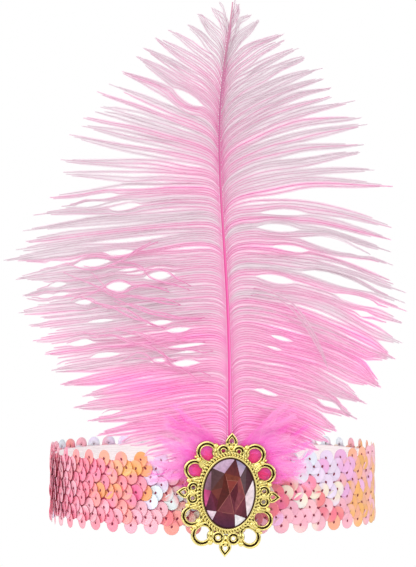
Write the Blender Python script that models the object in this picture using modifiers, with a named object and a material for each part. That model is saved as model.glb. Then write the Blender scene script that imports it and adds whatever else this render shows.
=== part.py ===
"""A sequinned elastic headband with a gold brooch and one ostrich feather.

Metres, +Z up, the wearer looks along -Y. The origin is the middle of the head opening, at half the band's
height. It is the place that a head takes.
"""

import math

import bmesh
import bpy
from mathutils import Matrix, Vector

MM = 0.001
GAP = 0.3 * MM  # clearance between neighbouring pieces

# Band: half sizes of the oval at the crest of the sequins
BAND_HALF_X = 97.0 * MM
BAND_HALF_Y = 90.0 * MM
SEQUIN_DEPTH = 2.2 * MM  # how thick the layer of overlapping sequins lies
ELASTIC_WALL = 1.2 * MM
ELASTIC_HEIGHT = 35.0 * MM

# Sequins: three chains, each sewn on in a zigzag
SEQUIN_RADIUS = 4.6 * MM
CHAIN_SPACING = 13.8 * MM
ZIGZAG_HEIGHT = 4.7 * MM  # from a chain's centre line to a peak
ZIGZAGS = 48  # peaks round the band
CHAIN_RELIEF = 0.6 * MM
VALLEY_FILL = 18.2 * MM  # how high the band's edge stays between two peaks

# Feather
QUILL_BASE_Z = -8.0 * MM
QUILL_TOP_Z = 274.0 * MM
QUILL_BASE_RADIUS = 1.45 * MM
QUILL_TOP_RADIUS = 0.4 * MM
QUILL_STEPS = 18
QUILL_Y = -(BAND_HALF_Y + GAP + QUILL_BASE_RADIUS)
QUILL_SIDE = 1.2 * MM  # how far right of the brooch's middle the quill starts
SWERVE_LEFT = 6.2 * MM
SWERVE_START_Z = 50.0 * MM
BEND_START_Z = 25.0 * MM  # below this the quill lies straight against the band
BOW_BACK = 5.0 * MM
CURL_FORWARD = 14.0 * MM
ROOT_GAP = 0.5 * MM  # between the quill and the sheets of barbs
VANE_THICKNESS = 1.2 * MM
LOCK_TIP_WIDTH = 1.6 * MM
DROOP_BACK = 16.0 * MM  # how far the longest barbs hang behind the quill
DROOP_SWING = 4.0 * MM  # neighbouring locks hang this much more and less
FULL_REACH = 120.0 * MM

# A barb hooks upwards out of the quill and then runs out to its tip in a shallow arch
HOOK_RISE = 6.0 * MM
HOOK_LENGTH = 5.0 * MM  # within this the hook has done most of its rise
LEFT_ARCH = math.radians(3)  # how much steeper a barb starts than the straight way to its tip
RIGHT_ARCH = math.radians(18)
BEND_SHARE = 0.36  # how far along a barb its bend pulls
BARB_ROWS = (0.0, 0.07, 0.3, 0.52, 0.7, 0.86, 1.0)  # shares of a barb's length

# How far a lock's tip ends above its root, as (height of the tip, climb), in millimetres
LEFT_CLIMBS = (
    (15.0, -6.0),
    (132.0, -8.0),
    (166.0, 0.0),
    (202.0, 22.0),
    (240.0, 36.0),
    (260.0, 28.0),
    (274.0, 15.0),
)
RIGHT_CLIMBS = (
    (14.0, -6.0),
    (41.0, -18.0),
    (74.0, -28.0),
    (128.0, -8.0),
    (150.0, -3.0),
    (175.0, 17.0),
    (222.0, 36.0),
    (259.0, 30.0),
    (276.0, 15.0),
)

# Locks of the vane from the top down, as (tip sideways, tip height, share of its length at which it parts
# from the lock below), in millimetres
LEFT_LOCKS = (
    (-7.0, 273.0, 0.3),
    (-20.5, 266.5, 0.5),
    (-37.0, 258.5, 0.6),
    (-50.5, 248.5, 0.6),
    (-60.5, 238.5, 0.5),
    (-72.5, 226.5, 0.7),
    (-77.0, 216.5, 0.8),
    (-84.0, 210.0, 0.5),
    (-89.5, 201.5, 0.45),
    (-96.3, 187.0, 0.5),
    (-97.0, 179.5, 0.65),
    (-101.9, 165.0, 0.65),
    (-109.8, 157.0, 0.45),
    (-114.5, 148.0, 0.85),
    (-118.0, 139.0, 0.85),
    (-127.1, 131.5, 0.85),
    (-121.0, 120.0, 0.85),
    (-118.5, 110.0, 0.85),
    (-118.5, 100.0, 0.85),
    (-111.0, 90.0, 0.85),
    (-104.7, 78.0, 0.85),
    (-99.5, 69.0, 0.75),
    (-95.0, 60.0, 0.7),
    (-84.0, 47.0, 0.85),
    (-75.0, 34.0, 0.85),
    (-60.0, 25.5, 0.85),
    (-42.0, 16.0, 0.85),
)
RIGHT_LOCKS = (
    (3.0, 276.0, 0.5),
    (12.5, 268.0, 0.2),
    (31.0, 258.0, 0.6),
    (42.5, 248.5, 0.55),
    (53.5, 237.0, 0.55),
    (59.5, 226.5, 0.55),
    (72.5, 218.5, 0.5),
    (78.4, 207.5, 0.6),
    (77.0, 193.5, 0.35),
    (84.6, 183.0, 0.65),
    (93.5, 174.0, 0.2),
    (95.8, 150.0, 0.5),
    (94.0, 139.5, 0.45),
    (96.2, 128.5, 0.35),
    (100.0, 115.0, 0.45),
    (104.7, 102.0, 0.85),
    (102.5, 93.0, 0.85),
    (99.0, 83.0, 0.85),
    (96.0, 72.5, 0.85),
    (87.4, 59.0, 0.85),
    (77.0, 47.0, 0.7),
    (66.0, 36.5, 0.85),
    (56.0, 26.0, 0.85),
    (40.0, 19.0, 0.85),
)

# Brooch, in its own plane. Its stone is a standard oval of 30 by 40 mm
STONE_HALF = (15.0 * MM, 20.0 * MM)
BROOCH_TILT = math.radians(3.6)  # clockwise, seen from the front
PAD_HALF = (12.0 * MM, 15.0 * MM)
PAD_THICKNESS = 2 * QUILL_BASE_RADIUS
PAD_SIDES = 32
PAD_BACK_Y = -(BAND_HALF_Y + GAP)
BROOCH_BACK_Y = PAD_BACK_Y - PAD_THICKNESS - GAP
BEZEL_SIDES = 48
ROPE_RELIEF = 0.3 * MM

# The setting's section from the foot of its back to the floor of the stone's pocket, as (distance outside
# the stone's outline, height, share of the rope's relief), in millimetres
BEZEL_SECTION = (
    (3.2, 0.0, 0),
    (3.2, 1.2, 0),
    (2.6, 1.3, 0),
    (2.0, 3.0, 1),
    (1.2, 2.3, 0),
    (0.95, 4.1, 0),
    (0.6, 4.5, 0),
    (0.3, 4.2, 0),
    (0.3, 1.2, 0),
)

# Rings round the bezel in one quarter of the brooch, as (sideways, up, outer radius, hole radius)
LARGE_LOOPS = ((13.3, 22.8, 5.7, 3.95), (19.8, 12.9, 5.7, 3.95))
SMALL_RINGS = ((4.1, 24.8, 3.5, 1.3), (19.9, 2.9, 3.5, 1.35))
# Solid beads that join them, as (sideways, up, radius)
BEADS = ((17.6, 18.6, 1.6), (8.6, 26.6, 1.6), (22.4, 7.0, 1.5), (0.0, 26.8, 1.4))
# Pointed leaves at the four ends, as (sideways to the hole, up to the hole, length, width, turn in degrees)
LEAVES = ((0.0, 30.0, 9.0, 7.0, 0), (25.0, 0.0, 8.2, 6.6, -90))
LEAF_THICKNESS = 1.5 * MM
LEAF_HOLE_SHARE = 0.42
LOOP_STEPS = 14
SMALL_STEPS = 10

# Stone, above the floor of its pocket. Six facets lean on the table's edges and six on its corners
POCKET_FLOOR = 1.2 * MM
STONE_SIDES = 48
TABLE_CORNERS = 6
TABLE_SHARE = 0.62
TABLE_HEIGHT = 5.4 * MM
GIRDLE_HEIGHT = 3.0 * MM


def clear_scene():
    for item in list(bpy.data.objects):
        bpy.data.objects.remove(item, do_unlink=True)
    for group in list(bpy.data.collections):
        bpy.data.collections.remove(group)


def new_collection(name):
    group = bpy.data.collections.new(name)
    bpy.context.scene.collection.children.link(group)
    return group


def new_material(name, colour, roughness, metallic=0.0):
    material = bpy.data.materials.new(name)
    material.use_nodes = True
    shader = material.node_tree.nodes["Principled BSDF"]
    shader.inputs["Base Color"].default_value = (*colour, 1.0)
    shader.inputs["Roughness"].default_value = roughness
    shader.inputs["Metallic"].default_value = metallic
    material.diffuse_color = (*colour, 1.0)
    return material


def add_object(name, data, group, material=None, parent=None):
    item = bpy.data.objects.new(name, data)
    group.objects.link(item)
    item.parent = parent
    if material:
        data.materials.append(material)
    return item


def as_helper(item):
    """Marks an object that only lends its shape to another."""
    item.hide_render = True
    item.display_type = "WIRE"
    return item


def mesh_from_bmesh(name, shape):
    bmesh.ops.recalc_face_normals(shape, faces=shape.faces)
    mesh = bpy.data.meshes.new(name)
    shape.to_mesh(mesh)
    shape.free()
    return mesh


def loft(name, rings, wrap):
    """Joins closed rings of equal length. The last one joins the first, or both ends are capped."""
    shape = bmesh.new()
    rows = [[shape.verts.new(point) for point in ring] for ring in rings]
    pairs = list(zip(rows, rows[1:]))
    if wrap:
        pairs.append((rows[-1], rows[0]))
    else:
        shape.faces.new(rows[0])
        shape.faces.new(rows[-1])
    for near, far in pairs:
        for here, corner in enumerate(near):
            shape.faces.new((near[here - 1], corner, far[here], far[here - 1]))
    return mesh_from_bmesh(name, shape)


def oval(half_x, half_y, sides, turn=0.0):
    """Corners of an oval in the XY plane."""
    angles = [2 * math.pi * (corner + turn) / sides for corner in range(sides)]
    return [(half_x * math.cos(angle), half_y * math.sin(angle)) for angle in angles]


def mix(low, high, share):
    return low + (high - low) * share


def oval_cylinder(name, half_sizes, depth, sides, ends, group, material):
    """A cylinder primitive pulled into an oval, in a collection of the model's own."""
    bpy.ops.mesh.primitive_cylinder_add(vertices=sides, radius=1.0, depth=depth, end_fill_type=ends)
    item = bpy.context.object
    item.name = name
    item.scale = (*half_sizes, 1.0)
    bpy.ops.object.transform_apply(scale=True)
    for holder in list(item.users_collection):
        holder.objects.unlink(item)
    group.objects.link(item)
    item.data.materials.append(material)
    return item


def make_elastic(group, material):
    """The woven loop, an open tube of oval plan with a thin wall."""
    outset = SEQUIN_DEPTH + GAP
    half_sizes = (BAND_HALF_X - outset, BAND_HALF_Y - outset)
    band = oval_cylinder("elastic_band", half_sizes, ELASTIC_HEIGHT, 2 * ZIGZAGS, "NOTHING", group, material)
    wall = band.modifiers.new("wall", "SOLIDIFY")
    wall.thickness = ELASTIC_WALL
    wall.offset = -1.0
    band.data.shade_smooth()
    return band


def trim_section(column):
    """The sequin layer cut through at one column, as (outwards, height): its back, edges and three crests."""
    peak = 1 if column % 2 == 0 else -1
    full = CHAIN_SPACING + ZIGZAG_HEIGHT + SEQUIN_RADIUS
    top = full if peak > 0 else VALLEY_FILL
    bottom = -VALLEY_FILL if peak > 0 else -full
    section = [(-SEQUIN_DEPTH, bottom), (-CHAIN_RELIEF, bottom)]
    for chain in (-1, 0, 1):
        crest = chain * CHAIN_SPACING + peak * ZIGZAG_HEIGHT / 2
        section.append((0.0, crest))
        if chain < 1:
            section.append((-CHAIN_RELIEF, crest + CHAIN_SPACING / 2))
    return [*section, (-CHAIN_RELIEF, top), (-SEQUIN_DEPTH, top)]


def make_sequin_trim(group, material):
    columns = 2 * ZIGZAGS
    rings = []
    for column, (across, along) in enumerate(oval(1.0, 1.0, columns)):
        rings.append(
            [
                ((BAND_HALF_X + outwards) * across, (BAND_HALF_Y + outwards) * along, height)
                for outwards, height in trim_section(column)
            ]
        )
    return add_object("sequin_trim", loft("sequin_trim", rings, wrap=True), group, material)


def share_between(value, low, high):
    """How far a value has come from low to high, kept within 0 and 1."""
    return min(1.0, max(0.0, (value - low) / (high - low)))


def quill_point(height):
    """The middle of the quill at a height: it swerves to the left and back, and curls forward at its tip."""
    swerve = math.sin(math.pi * share_between(height, SWERVE_START_Z, QUILL_TOP_Z) ** 1.8)
    side = QUILL_SIDE - SWERVE_LEFT * max(0.0, swerve) ** 1.3
    share = share_between(height, BEND_START_Z, QUILL_TOP_Z)
    bow = BOW_BACK * math.sin(math.pi * share) ** 2
    return Vector((side, QUILL_Y + bow - CURL_FORWARD * share**3, height))


def quill_radius(height):
    share = share_between(height, QUILL_BASE_Z, QUILL_TOP_Z)
    return mix(QUILL_BASE_RADIUS, QUILL_TOP_RADIUS, share**0.8)


def make_quill(group, material):
    """The feather's shaft, which thins towards its tip."""
    curve = bpy.data.curves.new("feather_quill", "CURVE")
    curve.dimensions = "3D"
    curve.bevel_depth = 1.0
    curve.bevel_resolution = 2
    curve.use_fill_caps = True
    spline = curve.splines.new("POLY")
    spline.points.add(QUILL_STEPS)
    for index, point in enumerate(spline.points):
        height = mix(QUILL_BASE_Z, QUILL_TOP_Z, index / QUILL_STEPS)
        point.co = (*quill_point(height), 1.0)
        point.radius = quill_radius(height)
    return add_object("feather_quill", curve, group, material)


def root_height(tip_height, climbs):
    """The height on the quill at which a lock starts."""
    for low, high in zip(climbs, climbs[1:]):
        if tip_height <= high[0] * MM:
            break
    climb = mix(low[1], high[1], share_between(tip_height, low[0] * MM, high[0] * MM))
    return tip_height - climb * MM


def vane_root(side, height):
    """Where a barb starts, beside the quill."""
    return quill_point(height) + Vector((side * (quill_radius(height) + ROOT_GAP), 0.0, 0.0))


def barb_point(root, tip, share):
    """A point on the hooked and arched line that a barb takes from its root to its tip."""
    shoulder = vane_root(math.copysign(1.0, tip.x - root.x), root.z + HOOK_RISE)
    reach = tip - shoulder
    arch = LEFT_ARCH if reach.x < 0 else RIGHT_ARCH
    turn = Matrix.Rotation(-arch * reach.x / reach.length, 3, "Y")
    bend = shoulder + turn @ reach * BEND_SHARE
    back = 1.0 - share
    hook = back * math.exp(-share * reach.length / HOOK_LENGTH)
    return back * back * shoulder + 2 * back * share * bend + share * share * tip + hook * (root - shoulder)


def lock_tips(locks, climbs):
    """Where the locks end. They hang further back the longer they are, every other one a little more."""
    tips = []
    for index, (tip_x, tip_z, _) in enumerate(locks):
        swing = DROOP_SWING if index % 2 else -DROOP_SWING
        droop = (DROOP_BACK + swing) * min(1.0, abs(tip_x * MM) / FULL_REACH) ** 1.5
        depth = quill_point(root_height(tip_z * MM, climbs)).y + droop
        tips.append(Vector((tip_x * MM, depth, tip_z * MM)))
    return tips


def lock_edge(border_root, border_tip, root, tip, parting):
    """One edge of a lock. It is shared with the next lock up to a row, and then closes in on the tip."""
    points = []
    half_tip = (border_root - root).normalized() * LOCK_TIP_WIDTH / 2
    for row, share in enumerate(BARB_ROWS):
        edge = barb_point(border_root, border_tip, share)
        if row > parting:
            closing = share_between(share, BARB_ROWS[parting], 1.0) ** 1.2
            edge = edge.lerp(barb_point(root, tip, share) + half_tip, closing)
        points.append(edge)
    return points


def nearest_row(share):
    return min(range(len(BARB_ROWS)), key=lambda row: abs(BARB_ROWS[row] - share))


def make_vane(name, side, locks, climbs, group, material):
    """The barbs on one side of the quill: a sheet that parts into tapered locks towards its edge."""
    tips = lock_tips(locks, climbs)
    roots = [root_height(tip.z, climbs) for tip in tips]
    borders = [mix(high, low, 0.5) for high, low in zip(roots, roots[1:])]
    borders = [2 * roots[0] - borders[0], *borders, 2 * roots[-1] - borders[-1]]
    border_tips = [tips[0], *[mix(high, low, 0.5) for high, low in zip(tips, tips[1:])], tips[-1]]
    partings = [0, *[nearest_row(share) for _, _, share in locks[:-1]], 0]
    shape = bmesh.new()
    for index, tip in enumerate(tips):
        root = vane_root(side, roots[index])
        upper, lower = (
            lock_edge(vane_root(side, borders[edge]), border_tips[edge], root, tip, partings[edge])
            for edge in (index, index + 1)
        )
        middle = [barb_point(root, tip, share) for share in BARB_ROWS]
        grid = [[shape.verts.new(point) for point in row] for row in zip(upper, middle, lower)]
        for near, far in zip(grid, grid[1:]):
            shape.faces.new((near[0], near[1], far[1], far[0]))
            shape.faces.new((near[1], near[2], far[2], far[1]))
    bmesh.ops.remove_doubles(shape, verts=shape.verts, dist=0.01 * MM)
    vane = add_object(name, mesh_from_bmesh(name, shape), group, material)
    sheet = vane.modifiers.new("thickness", "SOLIDIFY")
    sheet.thickness = VANE_THICKNESS
    sheet.offset = 0.0
    return vane


def make_brooch_axis(group):
    """The brooch's middle: its own X runs across it, Y up it and Z out of its face."""
    axis = bpy.data.objects.new("brooch_axis", None)
    group.objects.link(axis)
    axis.location = (0.0, BROOCH_BACK_Y, 0.0)
    axis.rotation_euler = (math.radians(90), BROOCH_TILT, 0.0)
    return axis


def bezel_mesh():
    """The closed back, the rope ring and the lip round the stone's pocket, lofted through ovals."""
    rings = []
    for outset, height, rope in BEZEL_SECTION:
        half_x = STONE_HALF[0] + outset * MM
        half_y = STONE_HALF[1] + outset * MM
        ring = []
        for corner, (across, up) in enumerate(oval(half_x, half_y, BEZEL_SIDES)):
            strand = rope * ROPE_RELIEF * (1 if corner % 2 else -1)
            ring.append((across, up, height * MM + strand))
        rings.append(ring)
    return loft("brooch_setting", rings, wrap=False)


def turned_ring(name, section, steps, group, axis, place):
    """A ring turned about its own axis, from a section that runs down its outer side first."""
    shape = bmesh.new()
    corners = [shape.verts.new((radius * MM, 0.0, height * MM)) for radius, height in section]
    for start, end in zip(corners, corners[1:] + corners[:1]):
        shape.edges.new((start, end))
    mesh = bpy.data.meshes.new(name)
    shape.to_mesh(mesh)
    shape.free()
    ring = as_helper(add_object(name, mesh, group, parent=axis))
    ring.location = (place[0] * MM, place[1] * MM, 0.0)
    turn = ring.modifiers.new("turn", "SCREW")
    turn.steps = steps
    turn.render_steps = steps
    turn.use_merge_vertices = True
    turn.merge_threshold = 0.00001
    return ring


def large_loop_section(outer, hole):
    """A raised rim, a groove and an inner lip."""
    rim = outer - 0.45
    groove = hole + 0.6
    return (
        (outer, 1.4),
        (outer, 0.0),
        (hole, 0.0),
        (hole, 1.2),
        (groove, 0.9),
        (rim, 1.9),
    )


def small_ring_section(outer, hole):
    rim = (outer + hole) / 2
    return ((outer, 1.2), (outer, 0.0), (hole, 0.0), (hole, 1.2), (rim, 1.8))


def leaf_outline(length, width, scale):
    """A leaf with a round foot and a pointed tip, about its own middle."""
    steps = 7
    right = []
    for index in range(steps + 1):
        share = index / steps
        half = math.sin(math.pi * share**0.7) * width / 2
        right.append((max(0.0, half) * scale, (share - 0.45) * length * scale))
    left = [(-across, up) for across, up in reversed(right[1:-1])]
    return right + left


def leaf(name, row, group, axis):
    """A flat pierced leaf, cut from a filled outline and made a mesh so that it can be joined."""
    across, up, length, width, turn = row
    curve = bpy.data.curves.new(name, "CURVE")
    curve.dimensions = "2D"
    curve.fill_mode = "BOTH"
    curve.extrude = LEAF_THICKNESS / 2
    for scale in (1.0, LEAF_HOLE_SHARE):
        outline = leaf_outline(length * MM, width * MM, scale)
        spline = curve.splines.new("POLY")
        spline.points.add(len(outline) - 1)
        spline.use_cyclic_u = True
        for point, (x, y) in zip(spline.points, outline):
            point.co = (x, y, 0.0, 1.0)
    drawn = add_object(name, curve, group, parent=axis)
    drawn.location = (across * MM, up * MM, LEAF_THICKNESS / 2)
    drawn.rotation_euler = (0.0, 0.0, math.radians(turn))
    bpy.context.view_layer.update()
    solid = bpy.data.meshes.new_from_object(drawn.evaluated_get(bpy.context.evaluated_depsgraph_get()))
    shape = bmesh.new()
    shape.from_mesh(solid)
    bmesh.ops.remove_doubles(shape, verts=shape.verts, dist=0.001 * MM)
    bmesh.ops.recalc_face_normals(shape, faces=shape.faces)
    shape.to_mesh(solid)
    shape.free()
    piece = as_helper(bpy.data.objects.new(name, solid))
    group.objects.link(piece)
    piece.matrix_world = drawn.matrix_world
    bpy.data.objects.remove(drawn, do_unlink=True)
    return piece


def bead(name, row, group, axis):
    across, up, radius = row
    shape = bmesh.new()
    bmesh.ops.create_uvsphere(shape, u_segments=8, v_segments=5, radius=radius * MM)
    piece = as_helper(add_object(name, mesh_from_bmesh(name, shape), group, parent=axis))
    piece.location = (across * MM, up * MM, radius * MM)
    return piece


def mirrored(across, up):
    """The places of a pattern in all four quarters, with no place twice."""
    places = []
    for side_x in (1, -1):
        for side_y in (1, -1):
            place = (side_x * across, side_y * up)
            if place not in places:
                places.append(place)
    return places


def make_setting(group, helpers, material, axis):
    """The pierced gold frame: loops, rings, leaves and beads soldered round the bezel."""
    setting = add_object("brooch_setting", bezel_mesh(), group, material, parent=axis)
    for across, up, outer, hole in LARGE_LOOPS:
        for place in mirrored(across, up):
            turned_ring("loop", large_loop_section(outer, hole), LOOP_STEPS, helpers, axis, place)
    for across, up, outer, hole in SMALL_RINGS:
        for place in mirrored(across, up):
            turned_ring("ring", small_ring_section(outer, hole), SMALL_STEPS, helpers, axis, place)
    for across, up, radius in BEADS:
        for place in mirrored(across, up):
            bead("bead", (*place, radius), helpers, axis)
    for across, up, length, width, turn in LEAVES:
        leaf("leaf", (across, up, length, width, turn), helpers, axis)
        leaf("leaf", (-across, -up, length, width, turn + 180), helpers, axis)
    solder = setting.modifiers.new("solder", "BOOLEAN")
    solder.operation = "UNION"
    solder.solver = "EXACT"
    solder.operand_type = "COLLECTION"
    solder.collection = helpers
    return setting


def stone_corner(share, corner, height):
    """A point over the stone's outline, counted in corners of the table from its right-hand one."""
    angle = 2 * math.pi * corner / TABLE_CORNERS
    return Vector(
        (
            STONE_HALF[0] * share * math.cos(angle),
            STONE_HALF[1] * share * math.sin(angle),
            POCKET_FLOOR + height,
        )
    )


def cut_facet(shape, corners):
    """Cuts the stone flat through three points and closes it again."""
    middle, second, third = corners
    facing = (second - middle).cross(third - middle).normalized()
    if facing.z < 0:
        facing.negate()
    everything = shape.verts[:] + shape.edges[:] + shape.faces[:]
    bmesh.ops.bisect_plane(
        shape, geom=everything, plane_co=middle, plane_no=facing, dist=0.001 * MM, clear_outer=True
    )
    bmesh.ops.holes_fill(shape, edges=[edge for edge in shape.edges if edge.is_boundary])


def make_stone(group, material, axis):
    """The stone: an oval blank with twelve facets cut round its table."""
    shape = bmesh.new()
    blank = bmesh.ops.create_cone(
        shape,
        cap_ends=True,
        segments=STONE_SIDES,
        radius1=1.0,
        radius2=1.0,
        depth=TABLE_HEIGHT - GAP,
    )
    for corner in blank["verts"]:
        corner.co.x = corner.co.x * STONE_HALF[0]
        corner.co.y = corner.co.y * STONE_HALF[1]
        corner.co.z = corner.co.z + POCKET_FLOOR + (TABLE_HEIGHT + GAP) / 2
    for corner in range(TABLE_CORNERS):
        here = stone_corner(TABLE_SHARE, corner, TABLE_HEIGHT)
        after = stone_corner(TABLE_SHARE, corner + 1, TABLE_HEIGHT)
        foot_before = stone_corner(1.0, corner - 0.5, GIRDLE_HEIGHT)
        foot_after = stone_corner(1.0, corner + 0.5, GIRDLE_HEIGHT)
        cut_facet(shape, (here, after, foot_after))
        cut_facet(shape, (here, foot_before, foot_after))
    return add_object("brooch_stone", mesh_from_bmesh("brooch_stone", shape), group, material, axis)


def make_pad(group, helpers, material):
    """The hidden pad under the brooch, with a slot that the quill lies in."""
    pad = oval_cylinder("fixing_pad", PAD_HALF, PAD_THICKNESS, PAD_SIDES, "NGON", group, material)
    pad.location = (0.0, PAD_BACK_Y - PAD_THICKNESS / 2, 0.0)
    pad.rotation_euler = (math.radians(90), 0.0, 0.0)
    slot_width = 2 * (QUILL_BASE_RADIUS + GAP)
    slot_foot = QUILL_BASE_Z - GAP
    slot_top = 2 * PAD_HALF[1]
    shape = bmesh.new()
    bmesh.ops.create_cube(shape, size=1.0)
    for corner in shape.verts:
        corner.co.x = corner.co.x * slot_width
        corner.co.y = corner.co.y * 2 * PAD_THICKNESS
        corner.co.z = corner.co.z * (slot_top - slot_foot)
    cutter = as_helper(add_object("quill_slot", mesh_from_bmesh("quill_slot", shape), helpers))
    cutter.location = (QUILL_SIDE, pad.location.y, (slot_top + slot_foot) / 2)
    cut = pad.modifiers.new("quill_slot", "BOOLEAN")
    cut.operation = "DIFFERENCE"
    cut.solver = "EXACT"
    cut.object = cutter
    return pad


def main():
    clear_scene()
    parts = new_collection("feather_headpiece")
    solders = new_collection("setting_pieces")
    cutters = new_collection("cutters")
    woven = new_material("white_webbing", (0.90, 0.80, 0.81), 0.85)
    pearl = new_material("pearl_pink_sequin", (0.95, 0.55, 0.55), 0.25)
    horn = new_material("dyed_feather_shaft", (0.85, 0.10, 0.40), 0.45)
    down = new_material("dyed_feather_barbs", (0.95, 0.25, 0.60), 0.80)
    gold = new_material("gold_plate", (0.85, 0.62, 0.15), 0.25, metallic=1.0)
    plum = new_material("plum_acrylic", (0.20, 0.02, 0.06), 0.08)
    felt = new_material("white_felt", (0.80, 0.78, 0.76), 0.95)

    make_elastic(parts, woven)
    make_sequin_trim(parts, pearl)
    make_quill(parts, horn)
    make_vane("feather_vane_left", -1, LEFT_LOCKS, LEFT_CLIMBS, parts, down)
    make_vane("feather_vane_right", 1, RIGHT_LOCKS, RIGHT_CLIMBS, parts, down)
    axis = make_brooch_axis(parts)
    make_setting(parts, solders, gold, axis)
    make_stone(parts, plum, axis)
    make_pad(parts, cutters, felt)


main()
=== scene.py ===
"""A sequinned headband with a gold brooch and one tall ostrich feather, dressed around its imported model.

Run as a script. Each operator adds one piece, or one group of like pieces, in the place of its plain solid.
Lengths are metres, +Z is up and the face of the brooch looks along -Y.
"""

import math

import bpy
import numpy as np
from mathutils import Euler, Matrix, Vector


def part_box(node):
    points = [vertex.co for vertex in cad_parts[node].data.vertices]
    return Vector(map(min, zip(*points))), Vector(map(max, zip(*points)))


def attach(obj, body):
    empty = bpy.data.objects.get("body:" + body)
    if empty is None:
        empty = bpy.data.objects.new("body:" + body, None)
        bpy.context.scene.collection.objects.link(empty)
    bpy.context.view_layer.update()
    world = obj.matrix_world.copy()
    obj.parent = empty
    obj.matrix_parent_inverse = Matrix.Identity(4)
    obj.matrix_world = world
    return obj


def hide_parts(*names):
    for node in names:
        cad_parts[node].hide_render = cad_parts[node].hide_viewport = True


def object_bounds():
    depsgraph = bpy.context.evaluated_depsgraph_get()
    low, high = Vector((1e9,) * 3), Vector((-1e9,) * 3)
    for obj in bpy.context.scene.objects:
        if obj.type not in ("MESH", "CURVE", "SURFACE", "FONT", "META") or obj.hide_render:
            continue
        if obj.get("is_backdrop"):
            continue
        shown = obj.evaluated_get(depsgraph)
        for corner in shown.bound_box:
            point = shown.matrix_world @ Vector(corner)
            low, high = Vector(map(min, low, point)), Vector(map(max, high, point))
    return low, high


bl_info = {
    "name": "Feather Headpiece",
    "version": (1, 0, 0),
    "blender": (4, 5, 0),
    "location": "3D View > Sidebar > Headpiece",
    "description": "A sequinned headband with a gold brooch and one ostrich feather",
    "category": "Object",
}

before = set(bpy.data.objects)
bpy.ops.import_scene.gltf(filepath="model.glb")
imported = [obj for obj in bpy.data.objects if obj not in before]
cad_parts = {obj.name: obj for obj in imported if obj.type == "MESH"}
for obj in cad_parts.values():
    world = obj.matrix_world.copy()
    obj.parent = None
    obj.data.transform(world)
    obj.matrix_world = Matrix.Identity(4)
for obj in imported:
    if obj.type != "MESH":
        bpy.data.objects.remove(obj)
cad_low, cad_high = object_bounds()

MM = 0.001
BODY = "root"

# Quill: it swerves to the left, bows back and curls forward at its tip
trim_low, trim_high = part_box("sequin_trim")
quill_low, quill_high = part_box("feather_quill")
QUILL_BASE_Z = quill_low.z
QUILL_TOP_Z = quill_high.z
QUILL_BASE_RADIUS = 1.45 * MM
QUILL_TOP_RADIUS = 0.4 * MM
QUILL_Y = trim_low.y - 0.3 * MM - QUILL_BASE_RADIUS
QUILL_SIDE = 1.2 * MM
QUILL_RINGS = 160
QUILL_SIDES = 28
QUILL_MARGIN = 0.1 * MM  # how much shorter it is than its plain solid at each end
SWERVE_LEFT = 6.2 * MM
SWERVE_START_Z = 50.0 * MM
BEND_START_Z = 25.0 * MM
BOW_BACK = 5.0 * MM
CURL_FORWARD = 14.0 * MM

# The quill's colours, darker on its flanks and paler along its crest, as (height in millimetres, colour of
# its flanks, colour of its crest)
QUILL_TINTS = (
    (0, "#d8509a", "#ffa4dc"),
    (80, "#d24c92", "#fc8cc8"),
    (136, "#cc4c8e", "#e678ac"),
    (164, "#c4588e", "#e080ae"),
    (192, "#b65488", "#d27ca8"),
    (220, "#ac5c88", "#c47ca2"),
    (245, "#b06c8c", "#c88ea4"),
    (277, "#c490a4", "#dcb4c2"),
)
RIDGE_SIDE = 0.35  # where the pale ridge runs, to the right of the quill's middle, as a share of its radius
RIDGE_SPREAD = 0.22

# Band, from the plain solids' boxes
BAND_HALF_X = trim_high.x
BAND_HALF_Y = trim_high.y
elastic_low, elastic_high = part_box("elastic_band")
ELASTIC_WALL = 1.2 * MM
CORD_PITCH = 1.3 * MM  # between the rubber cords that run round the webbing
CORD_RELIEF = 0.12 * MM
CORD_SINK = 0.1 * MM  # how much thinner the webbing is between its cords
CORD_FADE = 0.8 * MM  # the relief fades out this close to the webbing's edges
CORD_ROWS = 4
OUTER_ROWS = 9
ELASTIC_COLUMNS = 288
WEFT_PITCH = 0.4 * MM
SEAM_WIDTH = 12.0 * MM  # where the webbing's two ends overlap at the back
SEAM_RISE = 0.5 * MM
SEAM_ROW_INSET = 2.0 * MM  # from the overlap's edge to its row of stitches
SEAM_MARGIN = 1.5 * MM  # bare at the ends of a row
STITCH_STEP = 1.4 * MM
STITCH_SWING = 0.8 * MM
STITCH_RADIUS = 0.22 * MM
STITCH_LIFT = 0.05 * MM
STITCH_SIDES = 5
BACK_ANGLE = math.pi / 2

# Sequins: three chains, each sewn on in a zigzag of four sequins
CHAIN_SPACING = 13.8 * MM
ZIGZAG_HEIGHT = 4.7 * MM
ZIGZAGS = 48
SEQUIN_SIDES = 18
SEQUIN_THICKNESS = 0.18 * MM
SEQUIN_HOLE = 0.42 * MM
SEQUIN_SEED = 5
SEQUIN_INSET = 1.0 * MM  # from the crest of the trim to the middle of a sequin
SEQUIN_JITTER = 0.08  # how unevenly they lie, in steps along the thread and in millimetres of depth
SEQUIN_JITTER_UP = 0.15 * MM
SEQUIN_TILT_SPREAD = 1.5  # degrees
KNOT_SECTION = ((0.78, -0.2), (0.78, 0.04), (0.45, 0.24))  # (half width, height) in millimetres
KNOT_DIP = 0.2  # height of the middle of a knot's top, in millimetres
KNOT_STRETCH = (1.25, 0.8)  # along its thread and across it

# Pearl colours of the sequins, each with the iridescent sheen that it shows painted into its colour
PEARL_SHEENS = {
    "rose": "#f895ae", "salmon": "#f9a29f", "peach": "#f9b694", "orange": "#f8a974",
    "gold": "#f7b96a", "coral": "#f6828f", "hot": "#fa70a6", "pink": "#f9bacb",
    "mauve": "#f5bbe8", "lavender": "#efdff6", "ice": "#ebf4fa", "cream": "#f8ecda",
}
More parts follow.
